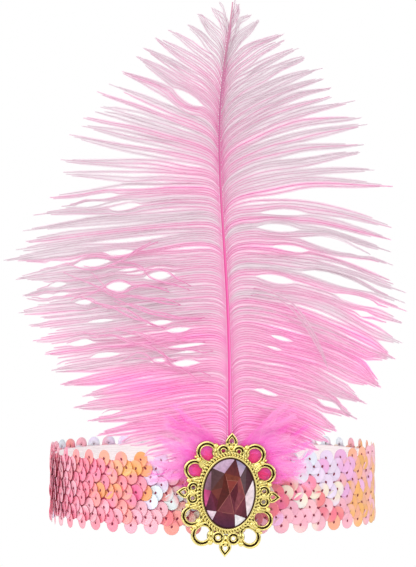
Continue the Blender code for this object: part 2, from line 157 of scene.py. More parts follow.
# Which painted sheens lie together, left to right across the front: (right end of the zone in millimetres,
# top chain, middle chain, bottom chain)
FRONT_SHEEN_ZONES = (
    (-84, ("pink", "rose", "pink"), ("rose", "pink"), ("pink", "rose")),
    (-71, ("rose", "salmon"), ("salmon", "rose", "rose"), ("rose", "pink")),
    (-60, ("rose", "peach", "salmon"), ("rose", "salmon", "orange"), ("rose", "pink")),
    (-45, ("orange", "gold", "salmon"), ("orange", "salmon", "hot", "rose"), ("pink", "pink", "salmon")),
    (-35, ("lavender", "mauve"), ("lavender", "ice"), ("pink", "cream")),
    (-10, ("mauve", "pink"), ("coral", "salmon", "ice"), ("salmon", "cream", "coral")),
    (36, ("pink", "coral"), ("coral", "hot", "cream"), ("pink", "coral", "mauve")),
    (55, ("ice", "lavender", "lavender"), ("coral", "cream", "rose", "ice"), ("pink", "cream", "pink")),
    (66, ("lavender", "mauve"), ("lavender", "cream", "lavender"), ("pink", "coral", "peach")),
    (76, ("peach", "mauve"), ("gold", "mauve", "pink"), ("gold", "pink", "pink")),
    (200, ("gold", "peach", "pink"), ("gold", "peach", "mauve"), ("gold", "pink", "peach")),
)
BACK_BEGINS = (5.0, 60.0)  # the front's zones end this far behind the middle, in millimetres
# Round the back the painted sheens come in no order
BACK_SHEEN_FAMILIES = (
    ("lavender", "ice"), ("cream", "pink", "ice"), ("lavender", "pink", "ice"),
    ("cream", "ice", "lavender"),
)

# Brooch, in its own plane: X across, Y up and Z out of its face. Its stone is the standard 30 by 40 mm oval
BROOCH_BACK_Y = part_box("brooch_setting")[1].y
BROOCH_TILT = math.radians(3.6)  # clockwise, seen from the front
STONE_HALF = np.array([15.0, 20.0])
POCKET_FLOOR = 1.2
PLATE_MARGIN = 0.05  # between the closed back and the stone's pocket
PLATE_OUTSET = 0.3
PLATE_SIDES = 96

# Sections run from the back of the outer side over the front to the back of the hole, in millimetres. Their
# last column is how much shade is painted on the plating: fully in the grooves and hollows. Rows of the
# bezel's are (distance outside the stone's outline, height, painted shade)
BEZEL_SECTION = (
    (3.2, 0, 0), (3.2, 1, 0), (2.9, 1.3, 1), (1.9, 1.5, 1), (1, 1.9, 1),
    (0.85, 3.6, 0.4), (0.85, 4.3, 0), (0.8, 4.8, 0), (0.6, 4.95, 0), (0.4, 4.95, 0),
    (0.1, 4.9, 0.3), (-0.15, 4.85, 1), (-0.85, 4.8, 1), (-0.95, 4.6, 1), (0.25, 4.2, 1),
    (0.25, 0, 1),
)
OVAL_RISE = 1.1  # how far the bezel and the stone lie above the middle of the loops
# Rows of a loop's, a leaf's or a petal's are (share of the way from the hole to the rim, height, painted
# shade)
LOOP_SECTION = (
    (1, 0, 1), (1, 0.7, 0.7), (1, 1.6, 0), (0.94, 2.2, 0), (0.66, 2.3, 0),
    (0.6, 1.8, 0.2), (0.56, 0.8, 1), (0.46, 0.7, 1), (0.35, 0.8, 1), (0.31, 1.5, 0.3),
    (0.22, 1.8, 0), (0.06, 1.7, 0), (0, 1.2, 0.1), (0, 0, 1),
)
LOOP_SIDES = 56
RIM_SWELL = 0.1  # how much further a loop's rim reaches on the side away from the brooch's middle
# Loops and rings in one quarter of the brooch, as (sideways, up, outer radius, hole radius, how far it is
# drawn out towards the middle)
LOOPS = (
    (13.3, 22.8, 6.1, 3.7, 0.24), (19.6, 12.7, 5.9, 3.6, 0.2), (4.3, 24.3, 3.8, 1, 0),
    (19.9, 2.9, 3.6, 1.1, 0),
)
# Solid petals that fill the corners between them, as (sideways, up, length, width, turn in degrees)
PETALS = (
    (15.4, 16.7, 8, 5.6, -42), (18.4, 7.4, 7, 4.4, -78), (8.4, 23.6, 8, 4.6, -12),
    (0, 25.4, 7, 5, 0), (20.6, 0, 6.5, 4.4, -90),
)
PETAL_SECTION = (
    (1, 0, 0.6), (1, 0.6, 1), (0.93, 0.95, 0.6), (0.8, 1.2, 0), (0.6, 1.45, 0),
    (0.35, 1.6, 0), (0, 1.65, 0),
)
PETAL_STEPS = 17  # points on each side of its outline
# Knobs soldered into the joints, as (sideways, up, radius)
KNOBS = (
    (17.8, 18.8, 1.6), (19.6, 20.2, 0.9), (8.7, 27, 1.6), (22.5, 7, 1.6), (0, 26.8, 1.4),
    (2.1, 28.2, 0.8), (24.3, 1.6, 0.8),
)
KNOB_STAND = 0.9  # how high a knob's middle stands, as a share of its radius
KNOB_LIFT = 0.1
# Pointed leaves at the ends, as (sideways to the hole, up to the hole, length, width, turn in degrees)
LEAVES = ((0, 30, 9, 7, 0), (0, -30, 9, 7, 180), (25, 0, 8.2, 6.6, -90), (-25, 0, 8.2, 6.6, 90))
LEAF_HOLE_SHARE = 0.36
LEAF_HEIGHT_SHARE = 0.85  # the height of leaves and petals, as a share of their sections'
ROPE_OUTSET = 2.25
ROPE_HEIGHT = 1.75
ROPE_RADIUS = 0.95
ROPE_TURNS = 66
ROPE_STEPS = 12  # rings of points a turn
ROPE_SIDES = 14
ROPE_WAIST = 0.4  # its radius where two strands meet, as a share
# Rows of fine beads inside the rope, as (outset, height, radius, number)
PEARL_ROWS = ((1.3, 2.6, 0.7, 66), (0.5, 4.6, 0.55, 84))

# Stone, in millimetres from its middle: the corners of its table, counted from the right-hand one
TABLE_CORNERS = ((8.8, -1.0), (5.4, 9.5), (-3.5, 11.2), (-10.4, 1.0), (-6.7, -10.3), (3.6, -11.4))
TABLE_HEIGHT = 5.4
GIRDLE_HEIGHT = 3.0
GIRDLE_STEP = 6.0  # degrees
STONE_FOOT = 0.3
STONE_BACK_COLOUR = "#3d1a30"
# Facets of the crown, with the reflections in the foil painted into their colours, as (colour at the table,
# colour at the girdle, corners of the table that they touch, where they begin and end round the girdle, in
# degrees)
CROWN_FACETS = (
    ("#6c2a2c", "#4a1e2a", (1, 2), (80.5, 80.5)), ("#d9b9cc", "#8d84a8", (1,), (54, 80.5)),
    ("#54303a", "#48242f", (0, 1), (27.3, 54)), ("#f6d9e2", "#fbeef2", (0,), (-43, 27.3)),
    ("#742e3e", "#421428", (5, 0), (-43, -43)), ("#f4eef5", "#fdfafc", (5,), (-72, -43)),
    ("#6d2a3a", "#46183c", (4, 5), (-126, -72)), ("#f3e0ea", "#e8c8dc", (4,), (-150, -126)),
    ("#6a2440", "#4a1432", (3, 4), (-150, -150)), ("#a03a66", "#e85a9c", (3,), (-185, -150)),
    ("#6a4650", "#a07890", (3,), (-223.5, -185)), ("#5a363a", "#4e343a", (2, 3), (-223.5, -223.5)),
    ("#b892b0", "#d0b0cc", (2,), (-279.5, -223.5)),
)
# Facets of the cut back as they show through the table, with their reflections painted in, as (colour,
# corners)
BACK_FACETS = (
    ("#7c3c2e", ((-3.5, 11.2), (5.4, 9.5), (4, 6.9), (-2.1, 7.3))),
    ("#8c3a34", ((-2.1, 7.3), (4, 6.9), (0.1, 0))),
    ("#5a2018", ((-3.5, 11.2), (-2.1, 7.3), (0.1, 0), (-4.3, 3))),
    ("#5e322c", ((-3.5, 11.2), (-4.3, 3), (-10.4, 1))),
    ("#763630", ((-10.4, 1), (-4.3, 3), (-6.2, -4.2))),
    ("#561e1c", ((-4.3, 3), (0.1, 0), (-6.7, -10.3), (-6.2, -4.2))),
    ("#641e30", ((-10.4, 1), (-6.2, -4.2), (-6.7, -10.3))),
    ("#7c3a42", ((0.1, 0), (3.6, -11.4), (-6.7, -10.3))),
    ("#5c1c2a", ((0.1, 0), (4, 6.9), (4.6, 1.2), (3.4, -5))),
    ("#8a4244", ((4, 6.9), (5.4, 9.5), (8.8, -1), (4.6, 1.2))),
    ("#823e48", ((4.6, 1.2), (8.8, -1), (3.6, -11.4), (3.4, -5))),
    ("#6e2c3c", ((0.1, 0), (3.4, -5), (3.6, -11.4))),
)
# Edges of the cut back that catch the light, from end to end
BACK_LINES = (
    ((-2.5, 9.4), (0.1, 0)), ((4, 7), (0.1, 0)), ((0.1, 0), (-5.8, -9.9)),
    ((0.1, 0), (3.1, -10.8)), ((5.4, 9), (8.6, -1)), ((8.6, -1), (4.3, -8.6)),
    ((-2.2, 7.4), (4, 7.2)), ((-3.4, -10.6), (3, -11.2)),
)
BACK_LINE_COLOUR = "#b46e62"
BACK_LINE_WIDTH = 0.18
BACK_LINE_LIFT = 0.01  # over the table

# Barbs: each hooks out of the quill and runs to its tip in a shallow arch
HOOK_RISE = 6.0 * MM
HOOK_LENGTH = 5.0 * MM
LEFT_ARCH = math.radians(3)
RIGHT_ARCH = math.radians(18)
BEND_SHARE = 0.36
DROOP_BACK = 16.0 * MM
DROOP_SWING = 4.0 * MM
FULL_REACH = 120.0 * MM
ROOT_GAP = 0.1 * MM
BARB_STEPS = 44
BARB_RADIUS = 0.24 * MM
BARB_TIP_RADIUS = 0.1 * MM
BARB_DEPTH = 1.6
LOCK_TIP_WIDTH = 1.3 * MM
LOCK_WAVES = (0.8, 1.6)  # how far locks wave in the feather's face and through it, in millimetres
BARB_WAVES = (0.35, 0.5)  # and how far single barbs do
LOCK_TONES = 0.03  # how unevenly the locks, the barbs and their hairs took the dye
BARB_TONES = 0.045
HAIR_TONES = 0.04

# How far a lock's tip ends above its root, as (height of the tip, climb), in millimetres
LEFT_CLIMBS = ((15, -6), (132, -8), (166, 0), (202, 22), (240, 36), (260, 28), (274, 15))
RIGHT_CLIMBS = (
    (19, -3.5), (41, -18), (74, -28), (128, -8), (150, -3), (175, 17), (222, 36), (259, 30),
    (276, 15),
)

# Locks from the top down, as (tip sideways, tip height, share of its length at which it parts from the lock
# below), in millimetres
LEFT_LOCKS = (
    (-5.6, 274.5, 0.5), (-10.1, 271.8, 0.15), (-19, 267.5, 0.45), (-23.5, 262.5, 0.35),
    (-34.7, 259.5, 0.45), (-41.4, 255.5, 0.6), (-48.2, 249.5, 0.6), (-52.1, 245, 0.6),
    (-60.5, 238, 0.5), (-66.5, 230, 0.5), (-73.5, 225.5, 0.66), (-76.5, 219.5, 0.85),
    (-77.5, 215.5, 0.72), (-83.8, 212, 0.85), (-83, 206.5, 0.48), (-90, 201, 0.44),
    (-96.5, 187, 0.5), (-96.5, 180.5, 0.62), (-102, 165.8, 0.6), (-97, 161, 0.7),
    (-109.5, 156, 0.42), (-114.5, 148.5, 0.8), (-116.5, 141, 0.9), (-119, 137, 0.92),
    (-127.1, 131.5, 0.84), (-121, 120, 0.84), (-118.3, 110.5, 0.92), (-119.3, 100, 0.92),
    (-113.7, 93.5, 0.95), (-109.2, 85.5, 0.95), (-104.8, 77.5, 0.93), (-100.2, 69, 0.82),
    (-96.3, 60.5, 0.7), (-82, 54.5, 0.9), (-88, 48.2, 0.84), (-79, 40.5, 0.74),
    (-75.5, 32.5, 0.85), (-61, 27, 0.9), (-47, 21, 0.9), (-36, 16, 0.9),
)
RIGHT_LOCKS = (
    (3, 276, 0.5), (6, 273.5, 0.4), (11.5, 268.5, 0.45), (17, 265.5, 0.2),
    (31, 258.5, 0.7), (33.5, 255, 0.52), (40.5, 249.8, 0.62), (46, 246, 0.55),
    (54, 239.2, 0.56), (57, 234, 0.55), (61, 228.5, 0.6), (63, 224.5, 0.6),
    (73, 221.5, 0.68), (78, 213, 0.5), (81, 208.5, 0.66), (80, 197, 0.3),
    (79.5, 191.5, 0.36), (87, 182.5, 0.68), (96.5, 174, 0.2), (98.5, 149.5, 0.78),
    (96.5, 142.5, 0.5), (96.5, 136, 0.6), (98.5, 127.5, 0.36), (101.5, 117.5, 0.8),
    (103.5, 112.5, 0.48), (105, 106.5, 0.72), (107, 101, 0.84), (105.5, 94, 0.9),
    (102.5, 84.5, 0.88), (99.5, 74, 0.87), (90, 58.5, 0.85), (81.5, 49.5, 0.76),
    (75.5, 41, 0.8), (64.5, 34, 0.92), (58, 29, 0.92), (52.5, 23.5, 0.92),
    (40, 19, 0.92),
)

# Lens-shaped gaps where barbs part and meet again, as (sideways, height, half length, half height, slope in
# degrees), in millimetres
LEFT_GAPS = (
    (-23, 221.5, 9.5, 2.4, -38), (-72, 220, 8, 1.2, -30), (-57, 161, 8.5, 1.9, 20),
    (-76, 163, 8.5, 1.6, 4), (-70, 167.5, 9, 1.2, 12), (-60, 135, 8, 1.7, 8),
    (-75.5, 130, 10, 2.4, 3), (-97.5, 129.3, 4, 1.4, 0), (-54.5, 126, 6.5, 1, 12),
    (-38, 122.6, 8.5, 2.7, 3), (-61.5, 116, 7.6, 3, -4), (-94.5, 117.6, 4.5, 1.5, -5),
    (-101, 111, 4.2, 1.4, -6), (-92.5, 112, 3.4, 1.2, 0), (-79.5, 107.5, 5.6, 1.9, 0),
    (-70, 97.4, 7, 0.9, 0), (-38, 96.3, 7, 1.7, 3), (-105.3, 97, 4.4, 1.1, 0),
    (-27, 91.3, 5.8, 1.3, 8), (-81.8, 85.1, 7, 1.7, 18), (-67.8, 78.4, 8, 1.4, 0),
    (-24, 83, 11.5, 1.1, 11), (-38, 75, 5.2, 1.5, 12), (-21.5, 79.5, 7, 1, 4),
    (-25, 73.4, 9, 2, 13), (-65, 45.9, 5.5, 1.2, 6),
)
RIGHT_GAPS = (
    (32.5, 158, 14, 1.8, 0), (29, 149.6, 12, 2.4, -5), (57, 140.5, 15.5, 2.6, -16),
    (66, 139, 17, 2.2, -24), (36, 137.5, 10, 1.6, -14), (65, 119.5, 22, 3, -18),
    (27.5, 120.5, 11, 2.5, -14), (74.5, 109, 13, 2.3, -8), (79, 100.2, 5, 1.4, 0),
    (31, 87, 6.5, 1.5, -16), (27, 81.8, 4, 0.9, -16), (22, 57, 6.5, 1.4, -30),
    (58, 50, 6.5, 1.8, 0),
)
VANE_SEED = 11
GAP_REACH = 3.5  # barbs within this many half heights of a gap give way
HAIR_OPENNESS = 0.78  # hairs reach a little way into the gaps
THINNING = (195.0 * MM, 248.0 * MM)  # the barbs that start between these heights grow thinner and thinner
TIP_FULLNESS = 0.4
YOUNG_LENGTH = 6.0 * MM  # hairs are short this close to the quill
FULL_DYE = 1.3  # the most dye that the down can show
ROOT_DYE = 0.3
WEB_ROOT = 0.025  # how far out the webs have the roots' dye, as a share of the barb
SHAFT_ROOT = 0.12  # and how far out the barbs' shafts have it
SHAFT_CONTRAST = 2.6  # how much more the shafts differ from each other than the down does
HAIR_TIP_PALE = 0.05
WEB_EDGE_PALE = 0.1
WEB_HALF_WIDTH = 1.0 * MM
WEB_LAP = 0.12 * MM
WEB_SINK = 0.25  # how far a web's edges lie behind its barb, as a share of its width
WEB_TAPER = 9.0 * MM
HAIR_LIFT = 0.15 * MM
HAIR_OVERRUN = 0.35  # the share that is kept of what runs past a barb's end

# How much dye the down holds, as (height in millimetres, near the quill, at the feather's edge)
DYE_BY_HEIGHT = (
    (0, 0.55, 0.35), (40, 0.42, 0.18), (80, 0.26, 0.07), (130, 0.14, 0.02), (180, 0.1, 0),
    (230, 0.05, 0), (276, 0, 0),
)
DYE_FADE = (0.12, 0.95)  # it fades between these shares of the way out to the edge

# Loose barbs across the front, as (start sideways, start height, end sideways, end height, sag, dye), in
# millimetres
STRAYS = (
    (-20, 116, -84, 130, -4, 0.50), (-26, 108, -92, 126, 4, 0.48), (-16, 98, -78, 114, 4, 0.52),
    (-36, 92, -98, 112, -4, 0.48), (-12, 84, -70, 98, 4, 0.52), (-30, 76, -86, 90, -3, 0.48),
    (-40, 140, -96, 128, 3, 0.46), (-12, 66, -70, 78, -4, 0.52), (-34, 118, -90, 108, -4, 0.48),
    (14, 114, 66, 60, -12, 0.30),
)
STRAY_LIFT = 1.8 * MM  # in front of the vane
STRAY_BUNDLE = 2  # barbs that run together
STRAY_SPREAD = 1.6 * MM
STRAY_REACH = 0.9 * MM
STRAY_WAVE = 1.6 * MM
LOOSE_HAIR_TONES = 0.05  # how unevenly the hairs of loose barbs and of the tuft took the dye

# Down at the quill's foot
DOWN_SEED = 29
DOWN_BARBS = 75
DOWN_LIFT = 0.6 * MM
DOWN_FINENESS = 0.6
DOWN_THINNESS = 0.2  # how much of the light goes through it
DOWN_ROOT_LOW = 9.0 * MM
DOWN_ROOT_HIGH = 19.0 * MM
DOWN_ANGLES = (-2.0, 44.0)  # degrees above level, from the lowest barb to the highest
DOWN_ANGLE_SPREAD = 5.0
DOWN_REACH_LEFT = (20.0 * MM, 48.0 * MM)
DOWN_REACH_RIGHT = (20.0 * MM, 50.0 * MM)
DOWN_WAVES = (1.6 * MM, 3.0 * MM)  # sideways and up
DOWN_ROOT_DYE = (1.12, 0.06)  # mean and spread
DOWN_TIP_DYE = (0.68, 0.15)

BROOCH_DYE = 0.6  # how much more dye the down holds low down behind the brooch, where it ran together
BROOCH_DYE_REACH = (24.0 * MM, 25.0 * MM)
BROOCH_DYE_EDGE = 6  # the power that sharpens its edge
BROOCH_COVER = (34.0 * MM, 46.0 * MM)  # between these heights the brooch ceases to cover the down
DOWN_LIMITS = (-12.0, 0.5)  # the foremost it may lie above the brooch and behind it, in millimetres

# Places that took more dye, or less, as (sideways, up, half width, half height, how much more)
DYE_PATCHES = (
    (-32, 36, 36, 20, 0.14), (-48, 61, 34, 9, 0.42), (-30, 88, 22, 7, 0.14), (36, 36, 25, 16, 0.28),
    (34, 90, 18, 22, 0.22), (-100, 92, 16, 14, 0.14), (56, 80, 18, 12, 0.18), (80, 98, 16, 14, 0.34),
    (82, 72, 14, 14, 0.34), (40, 66, 14, 8, 0.1), (50, 108, 14, 8, 0.12), (-22, 182, 22, 16, 0.16),
    (-16, 230, 14, 18, 0.1), (-50, 138, 34, 6, 0.12), (-42, 106, 18, 9, -0.08), (-40, 78, 16, 6, -0.08),
    (26, 140, 20, 9, 0.12),
)
# Barbs that stayed brighter all along, as (side, root height, half spread, strength), in millimetres
BRIGHT_BARBS = (
    (-1, 203, 1.1, 0.18), (-1, 196, 1, 0.16), (-1, 186, 1.3, 0.17), (-1, 166, 1, 0.16),
    (-1, 146, 1.4, 0.13), (-1, 134, 1.5, 0.17), (-1, 122, 1.4, 0.14), (-1, 84, 1.7, 0.14),
    (1, 224, 1, 0.12), (1, 184, 1.3, 0.24), (1, 176, 1, 0.17), (1, 157.5, 1, 0.22),
    (1, 147, 1, 0.16), (1, 132, 1.5, 0.16), (1, 118, 1.1, 0.13), (1, 103, 1.5, 0.18),
)


def linear(hex_colour):
    """An sRGB hex colour as linear light, with full alpha."""
    channels = [int(hex_colour[start : start + 2], 16) / 255 for start in (1, 3, 5)]
    return (*[c / 12.92 if c <= 0.04045 else ((c + 0.055) / 1.055) ** 2.4 for c in channels], 1.0)


def mix(low, high, share):
    return low + (high - low) * share


def share_between(value, low, high):
    """How far a value, or each of an array, has come from low to high, kept within 0 and 1."""
    return np.clip((value - low) / (high - low), 0.0, 1.0)


def halved(quads):
    """Each quad as two triangles."""
    return np.concatenate([quads[:, [0, 1, 2]], quads[:, [0, 2, 3]]])


def add_node(tree, kind, inputs=None, stops=None, **settings):
    """Adds a shader node with its settings. Each input takes a value, or the node or socket that feeds it."""
    node = tree.nodes.new(f"ShaderNode{kind}")
    for name, value in settings.items():
        setattr(node, name, value)
    for name, value in (inputs or {}).items():
        if isinstance(value, bpy.types.Node):
            value = value.outputs[0]
        if isinstance(value, bpy.types.NodeSocket):
            tree.links.new(value, node.inputs[name])
        else:
            node.inputs[name].default_value = value
    if stops:
        row = node.color_ramp.elements
        while len(row) < len(stops):
            row.new(1.0)
        for element, (place, colour) in zip(row, stops):
            element.position = place
            element.color = colour
    return node


def start_material(name):
    """A material and its tree, with no nodes yet."""
    material = bpy.data.materials.new(name)
    material.use_nodes = True
    material.node_tree.nodes.clear()
    return material, material.node_tree


def add_piece(name, points, faces, material, attributes=None, smooth=True):
    """A mesh of equal-sided faces that rides on the body. Attributes hold one number or colour a point."""
    mesh = bpy.data.meshes.new(name)
    mesh.vertices.add(len(points))
    mesh.vertices.foreach_set("co", np.ascontiguousarray(points, dtype=np.float32).ravel())
    mesh.loops.add(faces.size)
    mesh.loops.foreach_set("vertex_index", np.ascontiguousarray(faces, dtype=np.int32).ravel())
    mesh.polygons.add(len(faces))
    mesh.polygons.foreach_set("loop_start", np.arange(0, faces.size, faces.shape[1], dtype=np.int32))
    mesh.update(calc_edges=True)
    for label, values in (attributes or {}).items():
        kind, field = ("FLOAT", "value") if values.ndim == 1 else ("FLOAT_COLOR", "color")
        layer = mesh.attributes.new(label, kind, "POINT")
        layer.data.foreach_set(field, np.ascontiguousarray(values, dtype=np.float32).ravel())
    if smooth:
        mesh.shade_smooth()
    mesh.materials.append(material)
    piece = bpy.data.objects.new(name, mesh)
    bpy.context.scene.collection.objects.link(piece)
    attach(piece, BODY)
    return piece


def quill_radius(height):
    """The quill's radius at each height."""
    share = share_between(height, QUILL_BASE_Z, QUILL_TOP_Z)
    return mix(QUILL_BASE_RADIUS, QUILL_TOP_RADIUS, share**0.8)


def quill_points(height):
    """The middle of the quill at each height."""
    height = np.asarray(height, dtype=float)
    swerve = np.sin(np.pi * share_between(height, SWERVE_START_Z, QUILL_TOP_Z) ** 1.8)
    side = QUILL_SIDE - SWERVE_LEFT * np.maximum(0.0, swerve) ** 1.3
    share = share_between(height, BEND_START_Z, QUILL_TOP_Z)
    depth = QUILL_Y + BOW_BACK * np.sin(np.pi * share) ** 2 - CURL_FORWARD * share**3
    return np.stack([side, depth, height], axis=-1)


def root_heights(tip_heights, climbs):
    """The height on the quill at which each lock starts."""
    heights, rises = np.array(climbs).T * MM
    return tip_heights - np.interp(tip_heights, heights, rises)


def vane_roots(side, heights):
    """Where barbs start, beside the quill."""
    roots = quill_points(heights)
    roots[..., 0] += side * (quill_radius(np.asarray(heights)) + ROOT_GAP)
    return roots


def barb_lines(side, roots, tips, shares):
    """The hooked and arched lines that barbs take from their roots to their tips, one row for each barb."""
    shoulders = vane_roots(side, roots[:, 2] + HOOK_RISE)
    reach = tips - shoulders
    length = np.linalg.norm(reach, axis=1)
    arch = LEFT_ARCH if side < 0 else RIGHT_ARCH
    turn = -arch * reach[:, 0] / length
    bends = shoulders + BEND_SHARE * np.stack(
        [
            reach[:, 0] * np.cos(turn) + reach[:, 2] * np.sin(turn),
            reach[:, 1],
            reach[:, 2] * np.cos(turn) - reach[:, 0] * np.sin(turn),
        ],
        axis=-1,
    )
    share = shares[None, :, None]
    back = 1.0 - share
    hook = back * np.exp(-share * length[:, None, None] / HOOK_LENGTH)
    return (
        back**2 * shoulders[:, None]
        + 2 * back * share * bends[:, None]
        + share**2 * tips[:, None]
        + hook * (roots - shoulders)[:, None]
    )


def smooth_noise(rng, rows, shares, waves):
    """Gentle waves along each row, with random heights and phases."""
    total = np.zeros((rows, len(shares)))
    for wave in waves:
        phase = rng.uniform(0.0, 2 * np.pi, (rows, 1))
        height = rng.normal(0.0, 1.0, (rows, 1))
        total += height * np.sin(2 * np.pi * wave * shares[None, :] + phase) / len(waves)
    return total


class Vane:
    """The barbs of one half of the feather as rows of points, each with its dye and its fullness."""

    def __init__(self, side, locks, climbs, pitch, rng):
        tip_x, tip_z, parts = np.array(locks).T
        tip_x, tip_z = tip_x * MM, tip_z * MM
        lock_roots = root_heights(tip_z, climbs)
        order = np.arange(len(locks))
        swing = np.where(order % 2, DROOP_SWING, -DROOP_SWING)
        reach = np.minimum(1.0, np.abs(tip_x) / FULL_REACH) ** 1.5
        depth = quill_points(lock_roots)[:, 1]

        heights = np.arange(lock_roots[-1] - pitch, lock_roots[0] + pitch, pitch)
        heights += rng.uniform(-0.2, 0.2, len(heights)) * pitch
        place = np.interp(heights, lock_roots[::-1], order[::-1].astype(float))
        lock = np.rint(place).astype(int)
        beside = place - lock

        roots = vane_roots(side, heights)
        shares = np.linspace(0.0, 1.0, BARB_STEPS + 1)
        free_tips = np.stack(
            [
                np.interp(place, order, tip_x),
                np.interp(place, order, depth + DROOP_BACK * reach),
                np.interp(place, order, tip_z),
            ],
            axis=-1,
        )
        lock_tips = np.stack([tip_x, depth + (DROOP_BACK + swing) * reach, tip_z], axis=-1)[lock]
        free = barb_lines(side, roots, free_tips, shares)
        shut = barb_lines(side, roots, lock_tips, shares)

        parting_above = parts[np.maximum(lock - 1, 0)]
        parting = mix(parting_above, parts[lock], beside + 0.5)[:, None]
        closing = share_between(shares[None, :], parting, 1.0) ** 0.68
        lines = free + (shut - free) * closing[..., None]

        out = lock_tips - roots
        across = np.stack([-out[:, 2], np.zeros(len(out)), out[:, 0]], axis=-1)
        across /= np.linalg.norm(across, axis=1)[:, None]
        down = across * np.where(across[:, 2] > 0, -1.0, 1.0)[:, None]
        fade = np.minimum(1.0, shares * 3)[None, :]
        lock_waves = smooth_noise(rng, len(locks), shares, (0.8, 1.6))[lock]
        barb_waves = smooth_noise(rng, len(heights), shares, (1.3, 2.7))
        sideways = fade * (LOCK_WAVES[0] * MM * lock_waves + BARB_WAVES[0] * MM * barb_waves)
        sideways += LOCK_TIP_WIDTH * beside[:, None] * closing
        lines += down[:, None] * sideways[..., None]
        deep_waves = smooth_noise(rng, len(locks), shares, (0.7, 1.3))[lock]
        lines[..., 1] += fade * LOCK_WAVES[1] * MM * deep_waves
        lines[..., 1] += fade * BARB_WAVES[1] * MM * barb_waves[:, ::-1]

        shorter = 0.2 * np.abs(beside) * rng.uniform(0.4, 1.4, len(heights))
        ends = 1.0 - shorter - rng.uniform(0, 0.02, len(heights))
        self.side = side
        self.heights = heights
        self.lines = cut_short(lines, ends)
        self.dye = rng.normal(0.0, BARB_TONES, len(heights))
        self.dye += rng.normal(0.0, LOCK_TONES, len(locks))[lock]
        self.fullness = mix(1.0, TIP_FULLNESS, share_between(heights, *THINNING))


def cut_short(lines, ends):
    """Draws each line again so that it ends at a share of its length."""
    steps = lines.shape[1] - 1
    places = np.linspace(0.0, 1.0, steps + 1)[None, :] * ends[:, None] * steps
    low = np.minimum(places.astype(int), steps - 1)
    rows = np.arange(len(lines))[:, None]
    share = (places - low)[..., None]
    return lines[rows, low] * (1 - share) + lines[rows, low + 1] * share


def open_gaps(points, lines, gaps, openness=1.0):
    """Moves each barb's row of points out of the lens-shaped gaps, to the side on which the barb passes."""
    for sideways, height, half_length, half_height, slope in gaps:
        half_height = half_height * openness
        turn = math.radians(slope)
        along_axis = np.array([math.cos(turn), math.sin(turn)])
        across_axis = np.array([-math.sin(turn), math.cos(turn)])
        centre = np.array([sideways, height]) * MM
        from_centre = lines[..., [0, 2]] - centre
        nearest = np.argmin(np.abs(from_centre @ along_axis), axis=1)
        passing = (from_centre @ across_axis)[np.arange(len(lines)), nearest]
        side = np.where(passing > 0, 1.0, -1.0)[:, None]
        away = points[..., [0, 2]] - centre
        along = away @ along_axis / (half_length * MM)
        opening = half_height * MM * np.maximum(0.0, 1.0 - along**2)
        limit = GAP_REACH * half_height * MM
        signed = (away @ across_axis) * side
        inside = (opening > 0) & (signed < limit)
        squeezed = signed * mix(1.0, 0.25, np.minimum(1.0, opening / (half_height * MM) * 2))
        moved = opening + np.where(signed < 0, squeezed, signed) * (1.0 - opening / limit)
        shift = np.where(inside, moved - signed, 0.0) * side
        points[..., 0] += shift * across_axis[0]
        points[..., 2] += shift * across_axis[1]


def along_line(line, places):
    """Points and directions on a line at distances from its start."""
    run = np.concatenate([[0.0], np.cumsum(np.linalg.norm(np.diff(line, axis=0), axis=1))])
    slopes = np.gradient(line, axis=0)
    points = np.stack([np.interp(places, run, line[:, axis]) for axis in range(3)], axis=-1)
    ways = np.stack([np.interp(places, run, slopes[:, axis]) for axis in range(3)], axis=-1)
    return points, ways / np.linalg.norm(ways, axis=1)[:, None]


def line_length(line):
    return float(np.linalg.norm(np.diff(line, axis=0), axis=1).sum())


def line_axes(lines):
    """Directions along the lines, across them in the feather's face, and through the feather."""
    ways = np.gradient(lines, axis=-2)
    ways /= np.linalg.norm(ways, axis=-1, keepdims=True)
    flat = np.cross(ways, [0.0, 1.0, 0.0])
    flat /= np.linalg.norm(flat, axis=-1, keepdims=True)
    return ways, flat, np.cross(flat, ways)


def barb_shafts(lines, fineness=1.0):
    """Three-sided tapered prisms round the lines, deeper than wide: a row of points for each, and faces."""
    rows, steps = lines.shape[:2]
    _, flat, deep = line_axes(lines)
    radius = fineness * mix(BARB_RADIUS, BARB_TIP_RADIUS, np.linspace(0, 1, steps) ** 0.7)[None, :, None]
    angles = 2 * math.pi * np.arange(3) / 3 + math.pi / 6
    corners = [
        lines + radius * (math.cos(angle) * flat + math.sin(angle) * BARB_DEPTH * deep) for angle in angles
    ]
    index = np.arange(rows * steps * 3).reshape(rows, steps, 3)
    near, far = index[:, :-1], index[:, 1:]
    quads = np.stack([near, np.roll(near, -1, axis=2), np.roll(far, -1, axis=2), far], axis=-1)
    return np.stack(corners, axis=2).reshape(rows, -1, 3), halved(quads.reshape(-1, 4)[:, ::-1])


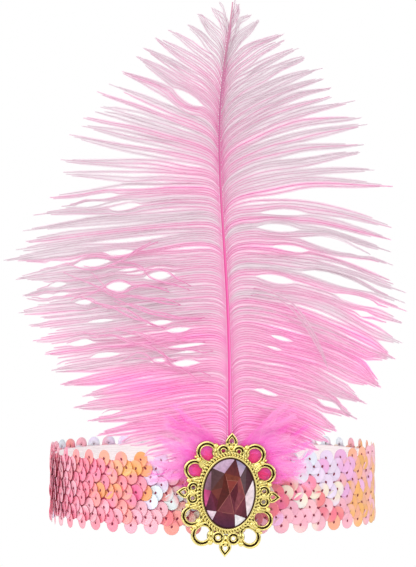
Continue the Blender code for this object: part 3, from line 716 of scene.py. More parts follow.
def barb_webs(lines, side, fullness):
    """The dense down close to each barb, as a ribbon that meets the next: rows of points, and faces."""
    rows, steps = lines.shape[:2]
    _, flat, deep = line_axes(lines)
    upwards = flat * side
    gaps = np.abs(np.sum(np.diff(lines, axis=0) * upwards[:-1], axis=-1))
    run = np.cumsum(np.linalg.norm(np.diff(lines, axis=1, prepend=lines[:, :1]), axis=-1), axis=1)
    taper = mix(0.85, 1.0, share_between(run, 1.0 * MM, YOUNG_LENGTH))
    taper *= share_between(run[:, -1:] - run, -2.0 * MM, WEB_TAPER) ** 0.7 * fullness[:, None]
    columns = [lines]
    gaps_above, gaps_below = np.concatenate([gaps, gaps[-1:]]), np.concatenate([gaps[:1], gaps])
    for next_gap, way in ((gaps_above, 1.0), (gaps_below, -1.0)):
        width = np.minimum(next_gap / 2 + WEB_LAP, WEB_HALF_WIDTH) * taper
        edge = lines + (way * upwards + WEB_SINK * np.abs(deep)) * width[..., None]
        columns.insert(0 if way > 0 else 2, edge)
    index = np.arange(rows * steps * 3).reshape(rows, steps, 3)
    near, far = index[:, :-1], index[:, 1:]
    quads = np.stack([near[..., :-1], near[..., 1:], far[..., 1:], far[..., :-1]], axis=-1)
    return np.stack(columns, axis=2).reshape(rows, -1, 3), halved(quads.reshape(-1, 4))


def barbules(line, pitch, reach, hair_length, width, rng, fluff=0.0):
    """Single downy hairs on both sides of one barb, which lean along it and drift away from it.

    Gives points, faces, and how far along its hair each point is.
    """
    length = line_length(line)
    places = np.arange(0.3 * pitch, length, pitch / 2)
    places = np.clip(places + rng.uniform(-0.3, 0.3, len(places)) * pitch, 0.0, length)
    count = len(places)
    hand = np.where(np.arange(count) % 2, 1.0, -1.0)
    grown = mix(0.3, 1.0, share_between(places, 0.0, YOUNG_LENGTH))
    grown *= mix(1.0, mix(0.25, 0.9, fluff), share_between(places, 0.6 * length, length))
    drift = reach * grown * rng.uniform(0.4, 1.4, count) * hand
    reached = places + hair_length * mix(0.4, 1.0, grown) * rng.uniform(0.7, 1.3, count)
    roll = rng.normal(0.0, 0.5, count)[:, None]
    half_width = (width / 2 * rng.uniform(0.7, 1.3, count))[:, None]
    root, way = along_line(line, places)
    end, end_way = along_line(line, reached)
    flat = np.cross(way, [0.0, 1.0, 0.0])
    deep = np.cross(flat, way)
    end += end_way * np.maximum(0.0, reached - length)[:, None] * HAIR_OVERRUN
    end_flat = np.cross(end_way, [0.0, 1.0, 0.0])
    lift = rng.normal(0.0, mix(HAIR_LIFT, DOWN_LIFT, fluff), count)[:, None]
    end += end_flat * drift[:, None] + deep * lift
    side = (flat * np.cos(roll) + deep * np.sin(roll)) * half_width
    points = np.stack([root - side, root + side, end], axis=1)
    return points.reshape(-1, 3), np.arange(count * 3).reshape(count, 3), np.tile([0.0, 0.0, 1.0], count)


def join_parts(parts):
    """Joins (points, faces, dye) parts into one set of arrays."""
    offsets = np.cumsum([0] + [len(points) for points, _, _ in parts[:-1]])
    return (
        np.concatenate([points for points, _, _ in parts]),
        np.concatenate([faces + offset for (_, faces, _), offset in zip(parts, offsets)]),
        np.concatenate([dye for _, _, dye in parts]),
    )


def vane_dye(points, locks):
    """How much dye the down holds at each point: most near the quill and low down, least at the edge."""
    outline = np.array(locks)[::-1] * MM
    edge = np.interp(points[:, 2], outline[:, 1], np.abs(outline[:, 0]))
    share = share_between(np.abs(points[:, 0]) / edge, *DYE_FADE)
    heights, near, far = np.array(DYE_BY_HEIGHT).T
    total = mix(
        np.interp(points[:, 2], heights * MM, near), np.interp(points[:, 2], heights * MM, far), share**0.8
    )
    for sideways, height, half_width, half_height, strength in DYE_PATCHES:
        away = ((points[:, 0] - sideways * MM) / (half_width * MM)) ** 2
        away += ((points[:, 2] - height * MM) / (half_height * MM)) ** 2
        total += strength * np.exp(-away)
    return total


def bright_dye(side, height):
    """How much brighter a barb with this root height is all along."""
    total = 0.0
    for row_side, root, spread, strength in BRIGHT_BARBS:
        if row_side == side:
            total += strength * math.exp(-(((height - root * MM) / (spread * MM)) ** 2))
    return total


def dress_vane(vane, locks, gaps, rng, feather, shaft, down, name, node):
    """Builds one half of the feather in three pieces: barb shafts, the webs between them, and hairs."""
    tone = vane.dye + np.array([bright_dye(vane.side, height) for height in vane.heights])
    points, faces = barb_shafts(vane.lines)
    run = np.repeat(np.linspace(0, 1, vane.lines.shape[1]), 3)
    root_dye = ROOT_DYE * vane.fullness[:, None]
    row_tone = (tone[:, None] * SHAFT_CONTRAST + root_dye * np.exp(-run / SHAFT_ROOT)).ravel()
    pieces = [(points, faces, row_tone, shaft)]
    points, faces = barb_webs(vane.lines, vane.side, vane.fullness)
    row_tone = tone[:, None] + np.tile([-WEB_EDGE_PALE, 0.0, -WEB_EDGE_PALE], vane.lines.shape[1])
    row_tone += root_dye * np.exp(-run / WEB_ROOT)
    pieces.append((points, faces, row_tone.ravel(), down))
    parts = []
    for row, line in enumerate(vane.lines):
        width = feather.barbule_width * vane.fullness[row]
        points, faces, out = barbules(
            line, feather.barbule_pitch, feather.barbule_reach, feather.barbule_length, width, rng
        )
        open_gaps(points[None], line[None], gaps, HAIR_OPENNESS)
        streak = rng.normal(0.0, HAIR_TONES, len(points) // 3).repeat(3)
        parts.append((points, faces, tone[row] + streak - HAIR_TIP_PALE * out))
    points, faces, row_tone = join_parts(parts)
    pieces.append((points, faces, row_tone, down))
    for number, (points, faces, row_tone, material) in enumerate(pieces):
        if points.ndim == 3:
            open_gaps(points, vane.lines, gaps)
        points = points.reshape(-1, 3)
        dye = vane_dye(points, locks) + row_tone
        piece = add_piece(
            f"{name}_{number + 1}", points, faces, material, {"dye": dye}, smooth=False
        )
        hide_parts(node)


def bent_line(start, pull, end, steps=BARB_STEPS):
    """A quadratic curve as a row of points."""
    share = np.linspace(0.0, 1.0, steps + 1)[:, None]
    return (1 - share) ** 2 * start + 2 * (1 - share) * share * pull + share**2 * end


def behind_brooch(points):
    """Moves points back behind the brooch, as far up as it covers them."""
    cover = 1.0 - share_between(points[..., 2], *BROOCH_COVER)
    limit = BROOCH_BACK_Y + mix(*DOWN_LIMITS, cover) * MM
    points[..., 1] = np.maximum(points[..., 1], limit)


def brooch_dye(points):
    """How much more dye there is in the down behind the brooch."""
    reach_x, reach_z = BROOCH_DYE_REACH
    away = (points[..., 0] / reach_x) ** BROOCH_DYE_EDGE + (points[..., 2] / reach_z) ** BROOCH_DYE_EDGE
    return BROOCH_DYE * np.exp(-away)


def add_loose_barbs(name, lines, tones, reach, hair_length, fluff, feather, rng):
    """Adds barbs that lie on the feather by themselves. Each has the dye of its root and of its tip."""
    fineness = mix(1.0, DOWN_FINENESS, fluff)
    points, faces = barb_shafts(lines, fineness)
    run = np.repeat(np.linspace(0, 1, lines.shape[1]), 3)
    dye = mix(tones[:, :1], tones[:, 1:], run[None]) + brooch_dye(points)
    down = dyed_down(feather, mix(0.5, DOWN_THINNESS, fluff))
    shaft = down if fluff else dyed_and_shaded_barb()
    points = points.reshape(-1, 3)
    add_piece(f"{name}_shafts", points, faces, shaft, {"dye": dye.ravel()}, smooth=False)
    width = feather.barbule_width * fineness
    parts = []
    for line, (root_tone, tip_tone) in zip(lines, tones):
        points, faces, out = barbules(line, feather.barbule_pitch, reach, hair_length, width, rng, fluff)
        behind_brooch(points)
        length = np.linalg.norm(line[-1] - line[0])
        share = share_between(np.linalg.norm(points - line[0], axis=1), 0.0, length)
        streak = rng.normal(0.0, LOOSE_HAIR_TONES, len(points) // 3).repeat(3)
        parts.append((points, faces, mix(root_tone, tip_tone, share) + streak - HAIR_TIP_PALE * out))
    points, faces, dye = join_parts(parts)
    dye += brooch_dye(points)
    add_piece(f"{name}_hairs", points, faces, down, {"dye": dye}, smooth=False)


def vane_depth(sideways, height):
    """How far forward the vane lies there."""
    return quill_points(height)[..., 1] + DROOP_BACK * np.minimum(1.0, np.abs(sideways) / FULL_REACH) ** 1.5


def stray_lines(rng):
    """The loose barbs that cross the vane's front in small bundles, with their dye."""
    lines, tones = [], []
    for start_x, start_z, end_x, end_z, sag, tone in STRAYS:
        ends = [
            np.array([x * MM, vane_depth(x * MM, z * MM) - STRAY_LIFT, z * MM])
            for x, z in ((start_x, start_z), (end_x, end_z))
        ]
        for _ in range(STRAY_BUNDLE):
            places = (*ends, (ends[0] + ends[1]) / 2)
            start, end, pull = (place + rng.normal(0.0, STRAY_SPREAD, 3) for place in places)
            start[1], end[1] = ends[0][1], ends[1][1]
            pull += [0.0, -0.5 * STRAY_LIFT, (-2 * sag + rng.normal(0.0, 2.0)) * MM]
            end = mix(start, end, rng.uniform(0.7, 1.0))
            line = bent_line(start, pull, end)
            line[:, 2] += STRAY_WAVE * smooth_noise(rng, 1, np.linspace(0.0, 1.0, len(line)), (1.0, 2.3))[0]
            lines.append(line)
            tones.append((tone - 0.1, tone - 0.2))
    lines = np.array(lines)
    open_gaps(lines, lines.copy(), (*LEFT_GAPS, *RIGHT_GAPS))
    return lines, np.array(tones)


def down_lines(rng):
    """The tuft of downy barbs that springs out on both sides of the quill's foot, with their dye."""
    lines, tones = [], []
    for side, reaches in ((-1, DOWN_REACH_LEFT), (1, DOWN_REACH_RIGHT)):
        for index in range(DOWN_BARBS):
            share = (index + rng.uniform(0.0, 1.0)) / DOWN_BARBS
            root = quill_points(mix(DOWN_ROOT_LOW, DOWN_ROOT_HIGH, share))
            angle = math.radians(mix(*DOWN_ANGLES, share) + rng.normal(0.0, DOWN_ANGLE_SPREAD))
            reach = mix(*reaches, rng.beta(2.0, 2.0))
            end = root + np.array([side * math.cos(angle), 0.0, math.sin(angle)]) * reach
            end[1] = vane_depth(end[0], end[2]) - rng.uniform(2.0, 6.0) * MM
            pull = mix(root, end, 0.5)
            pull += np.array([0.0, -rng.uniform(0.5, 3.0) * MM, rng.uniform(2.0, 6.0) * MM])
            lines.append(bent_line(root, pull, end))
            tones.append((rng.normal(*DOWN_ROOT_DYE), rng.normal(*DOWN_TIP_DYE)))
    lines = np.array(lines)
    shares = np.linspace(0.0, 1.0, lines.shape[1])
    lines[..., 0] += DOWN_WAVES[0] * shares * smooth_noise(rng, len(lines), shares, (0.7, 1.6))
    lines[..., 2] += DOWN_WAVES[1] * shares * smooth_noise(rng, len(lines), shares, (0.8, 1.9))
    behind_brooch(lines)
    return lines, np.array(tones)


def facing_out(points, faces):
    """The faces of a closed shape, turned over if they face inwards."""
    first, second, third = (points[faces[:, corner]] for corner in range(3))
    volume = np.einsum("ij,ij->", first, np.cross(second, third))
    return faces if volume > 0 else faces[:, ::-1]


def ring_faces(rows, columns, closed_rows):
    """Quads of a grid of rows that each close on themselves."""
    index = np.arange(rows * columns).reshape(rows, columns)
    near, far = (index, np.roll(index, -1, axis=0)) if closed_rows else (index[:-1], index[1:])
    quads = [near, np.roll(near, -1, axis=1), np.roll(far, -1, axis=1), far]
    return np.stack(quads, axis=-1).reshape(-1, 4)


def capped_rings(rings, first, last):
    """A solid through closed rings of equal length, with a point in the middle of each end."""
    rows, sides = rings.shape[:2]
    points = np.concatenate([rings.reshape(-1, 3), [first, last]])
    step = np.arange(sides)
    after = (step + 1) % sides
    end = (rows - 1) * sides
    near_cap = np.stack([after, step, np.full(sides, rows * sides)], axis=-1)
    far_cap = np.stack([step + end, after + end, np.full(sides, rows * sides + 1)], axis=-1)
    walls = halved(ring_faces(rows, sides, closed_rows=False))
    return points, facing_out(points, np.concatenate([walls, near_cap, far_cap]))


def tube(path, radii, sides):
    """A tube with closed ends round a path: points, faces and the angle round it of each point."""
    _, across, deep = line_axes(path)
    angles = 2 * np.pi * np.arange(sides) / sides
    rings = path[:, None] + radii[:, None, None] * (
        np.cos(angles)[None, :, None] * across[:, None] + np.sin(angles)[None, :, None] * deep[:, None]
    )
    points, faces = capped_rings(rings, path[0], path[-1])
    return points, faces, np.concatenate([np.tile(angles, len(path)), [0.0, 0.0]])


def band_frame(angles, inset):
    """Places at an inset from the crest of the sequins, with the band's outward and right-hand directions."""
    flat = np.zeros_like(angles)
    outward = np.stack([np.cos(angles) / BAND_HALF_X, np.sin(angles) / BAND_HALF_Y, flat], axis=-1)
    outward /= np.linalg.norm(outward, axis=-1, keepdims=True)
    right = np.stack([-outward[..., 1], outward[..., 0], flat], axis=-1)
    crest = np.stack([BAND_HALF_X * np.cos(angles), BAND_HALF_Y * np.sin(angles), flat], axis=-1)
    return crest - outward * inset, outward, right


def pearl_and_sheen_of(name, rng):
    """The linear colour of one sequin, its pearl colour with painted sheen, a little off its fellows'."""
    colour = np.array(linear(PEARL_SHEENS[name]))
    colour[:3] = np.clip(colour[:3] * rng.uniform(0.93, 1.06) + rng.normal(0.0, 0.012, 3), 0.0, 1.0)
    return colour


def zone_sheens(place, chain, rng):
    """The pearl colours with painted sheen that a sequin at this place may have."""
    if place[1] > rng.uniform(*BACK_BEGINS) * MM:
        return BACK_SHEEN_FAMILIES[int(rng.integers(len(BACK_SHEEN_FAMILIES)))]
    for limit, *chains in FRONT_SHEEN_ZONES:
        if place[0] < limit * MM:
            return chains[1 - chain]
    return FRONT_SHEEN_ZONES[-1][2]


def sequin_profile(radius, cup):
    """Half of a sequin's section, from its hole out over its face and back under, as (radius, height)."""
    face = [SEQUIN_HOLE, 0.3 * radius, 0.6 * radius, 0.88 * radius, radius]
    face = [(distance, cup * (distance / radius) ** 2) for distance in face]
    back = [(radius, cup - SEQUIN_THICKNESS), (SEQUIN_HOLE, -SEQUIN_THICKNESS)]
    return np.array([*face, *back])


def sequin_places(rng):
    """Each sequin's middle, outward, right-hand and along-the-thread directions, and its chain."""
    steps = 4 * ZIGZAGS
    rises = np.array([1.0, 0.0, -1.0, 0.0]) * ZIGZAG_HEIGHT
    lifts = np.array([0.0, 0.0, 0.3, 0.0]) * MM
    for chain in (1, 0, -1):
        for index in range(steps):
            angle = np.array(2 * math.pi * (index + rng.uniform(-SEQUIN_JITTER, SEQUIN_JITTER)) / steps)
            inset = SEQUIN_INSET - lifts[index % 4] + rng.uniform(-SEQUIN_JITTER, SEQUIN_JITTER) * MM
            middle, outward, right = band_frame(angle, inset)
            up = chain * CHAIN_SPACING + rises[index % 4] + rng.normal(0, SEQUIN_JITTER_UP)
            middle = middle + np.array([0.0, 0.0, up])
            rise = rises[(index + 1) % 4] - rises[index % 4]
            thread = right * (2 * math.pi * BAND_HALF_Y / steps) + np.array([0.0, 0.0, rise])
            yield middle, outward, right, thread / np.linalg.norm(thread), chain


def sequin_field(band, rng):
    """All the sequins: points, faces and a colour for each point, with the iridescent sheen painted in."""
    profile = sequin_profile(band.sequin_radius, band.cup_depth)
    turns = 2 * np.pi * np.arange(SEQUIN_SIDES) / SEQUIN_SIDES
    ring = ring_faces(len(profile), SEQUIN_SIDES, closed_rows=True)[:, ::-1]
    up = np.array([0.0, 0.0, 1.0])
    points, faces, tints = [], [], []
    for number, (middle, outward, right, thread, chain) in enumerate(sequin_places(rng)):
        lifted = right * 0.75 + thread * 0.25 + up * rng.normal(0.0, 0.12)
        lifted /= np.linalg.norm(lifted)
        lean = band.sequin_tilt + math.radians(rng.normal(0.0, SEQUIN_TILT_SPREAD))
        along = lifted * math.cos(lean) + outward * math.sin(lean)
        facing = outward * math.cos(lean) - lifted * math.sin(lean)
        beside = np.cross(facing, along)
        spin = turns + rng.uniform(0.0, 2 * np.pi)
        rim = np.cos(spin)[:, None] * along + np.sin(spin)[:, None] * beside
        disc = middle + profile[:, :1, None] * rim[None] + profile[:, 1:, None] * facing
        points.append(disc.reshape(-1, 3))
        faces.append(ring + number * len(profile) * SEQUIN_SIDES)
        sheen_names = zone_sheens(middle, chain, rng)
        main = pearl_and_sheen_of(sheen_names[int(rng.integers(len(sheen_names)))], rng)
        second = pearl_and_sheen_of(sheen_names[int(rng.integers(len(sheen_names)))], rng)
        # Part of some discs shifts to a second colour: a painted iridescent sheen.
        way = rng.uniform(0.0, 2 * np.pi)
        away = (profile[:, :1] / band.sequin_radius) * np.cos(turns - way)[None]
        share = np.clip((away - rng.uniform(-0.4, 0.3)) / 0.7, 0.0, 1.0) * rng.uniform(0.3, 1.0)
        tints.append((main * (1 - share[..., None]) + second * share[..., None]).reshape(-1, 4))
    return np.concatenate(points), np.concatenate(faces), np.concatenate(tints)


def stitch_knots(rng):
    """The thread that comes up through each sequin's hole, as a small six-sided knot."""
    sides = 6
    turns = 2 * np.pi * np.arange(sides) / sides
    profile = np.array(KNOT_SECTION) * MM
    long, short = KNOT_STRETCH
    count = len(profile) * sides
    rim = np.arange(count - sides, count)
    lid = np.stack([rim, np.roll(rim, -1), np.full(sides, count)], axis=-1)
    corners = np.concatenate([halved(ring_faces(len(profile), sides, closed_rows=False)), lid])
    points, faces = [], []
    for number, (middle, outward, _, thread, _) in enumerate(sequin_places(rng)):
        beside = np.cross(outward, thread)
        rim = np.cos(turns)[:, None] * thread * long + np.sin(turns)[:, None] * beside * short
        knot = middle + profile[:, :1, None] * rim[None] + profile[:, 1:, None] * outward
        points.append(np.concatenate([knot.reshape(-1, 3), [middle + outward * KNOT_DIP * MM]]))
        faces.append(corners + number * (count + 1))
    return np.concatenate(points), np.concatenate(faces)


def on_brooch(points):
    """Points of the brooch's own plane, in millimetres, brought to their place on the band."""
    turn = np.array(Euler((math.pi / 2, BROOCH_TILT, 0.0)).to_matrix())
    return points * MM @ turn.T + np.array([0.0, BROOCH_BACK_Y, 0.0])


def rounded(section, times=2):
    """A closed section with its corners cut again and again, until they look round."""
    section = np.asarray(section, dtype=float)
    for _ in range(times):
        after = np.roll(section, -1, axis=0)
        section = np.stack([mix(section, after, 0.25), mix(section, after, 0.75)], axis=1)
        section = section.reshape(-1, section.shape[-1])
    return section


def lofted_ring(rings, painted_shades):
    """A ring-shaped solid through closed rings of equal length, with the painted shade of each of its points.
    """
    rows, columns = rings.shape[:2]
    points = rings.reshape(-1, 3)
    faces = facing_out(points, halved(ring_faces(rows, columns, closed_rows=True)))
    return points, faces, np.repeat(painted_shades, columns)


def oval_ring(outset, height, count=192):
    """A ring of points at a distance outside the stone's outline."""
    angles = 2 * np.pi * np.arange(count) / count
    half = STONE_HALF + outset
    high = half[1] * np.sin(angles) + OVAL_RISE
    return np.stack([half[0] * np.cos(angles), high, np.full(count, height)], axis=-1)


def bezel():
    """The raised rim that holds the stone."""
    section = rounded(BEZEL_SECTION)
    rings = np.stack([oval_ring(outset, height) for outset, height, _ in section])
    return lofted_ring(rings, section[:, 2])


def loop(sideways, up, outer, hole, draw):
    """A ring with a raised rim, a groove painted dark as shade and a lip, drawn out towards the brooch's
    middle.
    """
    angles = 2 * np.pi * np.arange(LOOP_SIDES) / LOOP_SIDES
    inwards = math.atan2(-up, -sideways)
    inner = 1.0 + draw * np.maximum(0.0, np.cos(angles - inwards)) ** 3
    stretch = inner + RIM_SWELL * (draw > 0) * np.maximum(0.0, -np.cos(angles - inwards))
    section = rounded(LOOP_SECTION)
    rings = []
    for share, height, _ in section:
        radius = mix(hole * inner, outer * stretch, share)
        across, high = sideways + radius * np.cos(angles), up + radius * np.sin(angles)
        rings.append(np.stack([across, high, np.full(LOOP_SIDES, height)], axis=-1))
    return lofted_ring(np.stack(rings), section[:, 2])


def petal(sideways, up, length, width, turn, section, hole_share=0.0):
    """A petal with a round foot and a pointed tip, or a pierced leaf if its section has a hole."""
    shares = np.linspace(0.0, 1.0, PETAL_STEPS)
    half = np.sin(np.pi * shares**0.7) * width / 2
    high = (shares - 0.45) * length
    sides = np.concatenate([half, -half[-2:0:-1]]), np.concatenate([high, high[-2:0:-1]])
    outline = np.stack(sides, axis=-1)
    angle = math.radians(turn)
    turned = outline @ np.array([[math.cos(angle), math.sin(angle)], [-math.sin(angle), math.cos(angle)]])
    rings = []
    for share, height, _ in section:
        flat = turned * mix(hole_share, 1.0, share) + [sideways, up]
        rings.append(np.column_stack([flat, np.full(len(flat), height * LEAF_HEIGHT_SHARE)]))
    return lofted_ring(np.stack(rings), section[:, 2])


def knob(sideways, up, height, radius, rows=7, sides=12):
    """A round bead: points, faces and painted shade, which is none."""
    tilt = np.linspace(0.0, np.pi, rows + 2)[1:-1]
    turn = 2 * np.pi * np.arange(sides) / sides
    rings = np.stack(
        [
            np.sin(tilt)[:, None] * np.cos(turn)[None],
            np.sin(tilt)[:, None] * np.sin(turn)[None],
            np.broadcast_to(np.cos(tilt)[:, None], (rows, sides)),
        ],
        axis=-1,
    )
    middle = np.array([sideways, up, height])
    pole = np.array([0.0, 0.0, radius])
    points, faces = capped_rings(rings * radius + middle, middle + pole, middle - pole)
    return points, faces, np.zeros(len(points))


def rope():
    """The twisted rope round the bezel. Shade is painted on its strand where it dips."""
    steps, sides = ROPE_STEPS * ROPE_TURNS, ROPE_SIDES
    centre = oval_ring(ROPE_OUTSET, ROPE_HEIGHT, steps)
    ahead = np.roll(centre, -1, axis=0) - np.roll(centre, 1, axis=0)
    outward = np.stack([ahead[:, 1], -ahead[:, 0], np.zeros(steps)], axis=-1)
    outward /= np.linalg.norm(outward, axis=1)[:, None]
    turn = 2 * np.pi * np.arange(sides) / sides
    along = np.arange(steps)[:, None] / steps * ROPE_TURNS * np.pi
    swell = np.abs(np.sin(along + turn[None] / 2)) ** 0.6
    radius = ROPE_RADIUS * mix(ROPE_WAIST, 1.0, swell)
    rings = (
        centre[:, None]
        + (radius * np.cos(turn)[None])[..., None] * outward[:, None]
        + (radius * np.sin(turn)[None])[..., None] * np.array([0.0, 0.0, 1.0])
    )
    points, faces, _ = lofted_ring(rings, np.zeros(steps))
    return points, faces, (1.0 - swell).ravel()


def closed_back():
    """The thin plate that closes the stone's pocket."""
    heights = (PLATE_MARGIN, POCKET_FLOOR - PLATE_MARGIN)
    rings = np.stack([oval_ring(PLATE_OUTSET, height, PLATE_SIDES) for height in heights])
    points, faces = capped_rings(rings, *[[0.0, 0.0, height] for height in heights])
    # The plate is painted half dark with shade.
    return points, faces, np.full(len(points), 0.5)


def quarters(across, up):
    """The places of a pattern in all four quarters, with no place twice."""
    return sorted({(side_x * across, side_y * up) for side_x in (1, -1) for side_y in (1, -1)})


def setting_parts():
    """The setting's castings and knobs. A petal's turn is mirrored from quarter to quarter."""
    parts = [bezel(), rope(), closed_back()]
    for across, up, outer, hole, draw in LOOPS:
        parts += [loop(*place, outer, hole, draw) for place in quarters(across, up)]
    for across, up, radius in KNOBS:
        height = KNOB_STAND * radius + KNOB_LIFT
        parts += [knob(*place, height, radius) for place in quarters(across, up)]
    parts += [petal(*row, rounded(LOOP_SECTION), LEAF_HOLE_SHARE) for row in LEAVES]
    for across, up, length, width, turn in PETALS:
        for x, y in quarters(across, up):
            side = turn if x >= 0 else -turn
            way = side if y > 0 or up == 0 else 180.0 - side
            parts.append(petal(x, y, length, width, way, np.array(PETAL_SECTION)))
    for outset, height, radius, count in PEARL_ROWS:
        parts += [knob(x, y, z, radius, 5, 8) for x, y, z in oval_ring(outset, height, count)]
    return parts


def stone_rim(degrees, height=GIRDLE_HEIGHT):
    """A point on the stone's outline."""
    angle = math.radians(degrees)
    return np.array([STONE_HALF[0] * math.cos(angle), STONE_HALF[1] * math.sin(angle), height])


def stone_facets():
    """The stone's facets as (corners in order, a colour for each, with reflections painted in)."""
    table = [np.array([*corner, TABLE_HEIGHT]) for corner in TABLE_CORNERS]
    facets = []
    for colour, corners in BACK_FACETS:
        facets.append(([np.array([*corner, TABLE_HEIGHT]) for corner in corners], [colour] * len(corners)))
    for inner, outer, touched, (start, end) in CROWN_FACETS:
        turns = np.linspace(start, end, 1 + math.ceil((end - start) / GIRDLE_STEP))
        rim = [stone_rim(turn) for turn in turns]
        corners = [table[touched[0]], *rim, *[table[corner] for corner in touched[1:]]]
        facets.append((corners, [inner] + [outer] * len(rim) + [inner] * (len(touched) - 1)))
        back = np.array([0.0, 0.0, STONE_FOOT])
        for left, right in zip(turns, turns[1:]):
            low_left, low_right = stone_rim(left, STONE_FOOT), stone_rim(right, STONE_FOOT)
            walls = [stone_rim(left), low_left, low_right, stone_rim(right)]
            facets.append((walls, [STONE_BACK_COLOUR] * 4))
            facets.append(([low_right, low_left, back], [STONE_BACK_COLOUR] * 3))
    return facets


def stone_arrays():
    """The stone, with no corner shared by two facets, and its back's bright edges just over the table."""
    facets = stone_facets()
    for start, end in np.array(BACK_LINES):
        way = (end - start) / np.linalg.norm(end - start)
        beside = np.array([-way[1], way[0]]) * BACK_LINE_WIDTH / 2
        flat = (start - beside, start + beside, end + beside, end - beside)
        corners = [np.array([*corner, TABLE_HEIGHT + BACK_LINE_LIFT]) for corner in flat]
        facets.append((corners, [BACK_LINE_COLOUR] * 4))
    points, tints = [], []
    for corners, colours in facets:
        for step in range(1, len(corners) - 1):
            picks = [0, step, step + 1]
            facing = np.cross(corners[step] - corners[0], corners[step + 1] - corners[0])
            if corners[0][2] >= TABLE_HEIGHT and facing[2] < 0:
                picks = [0, step + 1, step]
            points += [corners[pick] for pick in picks]
            tints += [linear(colours[pick]) for pick in picks]
    points = np.array(points) + [0.0, OVAL_RISE, POCKET_FLOOR]
    return points, np.arange(len(points)).reshape(-1, 3), np.array(tints)


class HeadpieceBand(bpy.types.PropertyGroup):
    """Sizes and colours of the sequinned elastic."""

    sequin_radius: bpy.props.FloatProperty(
        name="Sequin Radius", description="Half of the width of one sequin", default=4.6 * MM, unit="LENGTH"
    )
    sequin_tilt: bpy.props.FloatProperty(
        name="Sequin Tilt",
        description="How far a sequin's right edge is lifted by the one that it lies on",
        default=math.radians(9.5),
        subtype="ANGLE",
    )
    cup_depth: bpy.props.FloatProperty(
        name="Cup Depth",
        description="How far a sequin's rim stands above its hole",
        default=0.18 * MM,
        unit="LENGTH",
    )
    webbing: bpy.props.FloatVectorProperty(
        name="Webbing",
        description="Colour of the elastic inside the band",
        default=linear("#faf4f4"),
        size=4,
        subtype="COLOR",
    )
    # The elastic's face under the sequins is rose, partly its own colour and partly painted shade for the
    # gaps between the sequins.
    thread: bpy.props.FloatVectorProperty(
        name="Thread",
        description="Colour of the thread that holds the sequins, and of the elastic's face under them",
        default=linear("#fc7ca2"),
        size=4,
        subtype="COLOR",
    )


class HeadpieceBrooch(bpy.types.PropertyGroup):
    """Colours of the brooch."""

    gold: bpy.props.FloatVectorProperty(
        name="Gold",
        description="Colour of the gold plating",
        default=linear("#eedf90"),
        size=4,
        subtype="COLOR",
    )
    # Colour painted on the plating as shade in its grooves and hollows.
    painted_shade: bpy.props.FloatVectorProperty(
        name="Painted Shade",
        description="Colour of the plating in the grooves, where it took dark lacquer",
        default=linear("#381408"),
        size=4,
        subtype="COLOR",
    )


class HeadpieceFeather(bpy.types.PropertyGroup):
    """Sizes and dye of the feather."""

    barb_pitch: bpy.props.FloatProperty(
        name="Barb Pitch",
        description="Distance between neighbouring barbs along the quill",
        default=1.35 * MM,
        unit="LENGTH",
    )
    barbule_pitch: bpy.props.FloatProperty(
        name="Barbule Pitch",
        description="Distance between neighbouring barbules on one side of a barb",
        default=0.4 * MM,
        unit="LENGTH",
    )
    barbule_reach: bpy.props.FloatProperty(
        name="Barbule Reach",
        description="How far the barbules stand out to each side of their barb",
        default=1.45 * MM,
        unit="LENGTH",
    )
    barbule_length: bpy.props.FloatProperty(
        name="Barbule Length",
        description="Length of a barbule, which leans along its barb",
        default=5.5 * MM,
        unit="LENGTH",
    )
    down_reach: bpy.props.FloatProperty(
        name="Down Reach",
        description="How far the barbules stand out in the downy tuft at the quill's foot",
        default=2.4 * MM,
        unit="LENGTH",
    )
    down_length: bpy.props.FloatProperty(
        name="Down Length",
        description="Length of a barbule in the downy tuft",
        default=8.0 * MM,
        unit="LENGTH",
    )
    barbule_width: bpy.props.FloatProperty(
        name="Barbule Width",
        description="Width of a barbule at its foot. It stands in for the few fine hairs beside it",
        default=0.18 * MM,
        unit="LENGTH",
    )
    pale: bpy.props.FloatVectorProperty(
        name="Pale Down",
        description="Colour of the down that took least dye",
        default=linear("#ece3e8"),
        size=4,
        subtype="COLOR",
    )
    soft: bpy.props.FloatVectorProperty(
        name="Soft Pink",
        description="Colour of most of the down",
        default=linear("#f5d2e5"),
        size=4,
        subtype="COLOR",
    )
    bright: bpy.props.FloatVectorProperty(
        name="Bright Pink",
        description="Colour of the well dyed down",
        default=linear("#ffb4e6"),
        size=4,
        subtype="COLOR",
    )
    deep: bpy.props.FloatVectorProperty(
        name="Deep Pink",
        description="Colour of the barb shafts and of the down near the brooch",
        default=linear("#ff70dc"),
        size=4,
        subtype="COLOR",
    )
    crimson: bpy.props.FloatVectorProperty(
        name="Crimson Pink",
        description="Colour of the down behind the brooch",
        default=linear("#ff4c94"),
        size=4,
        subtype="COLOR",
    )


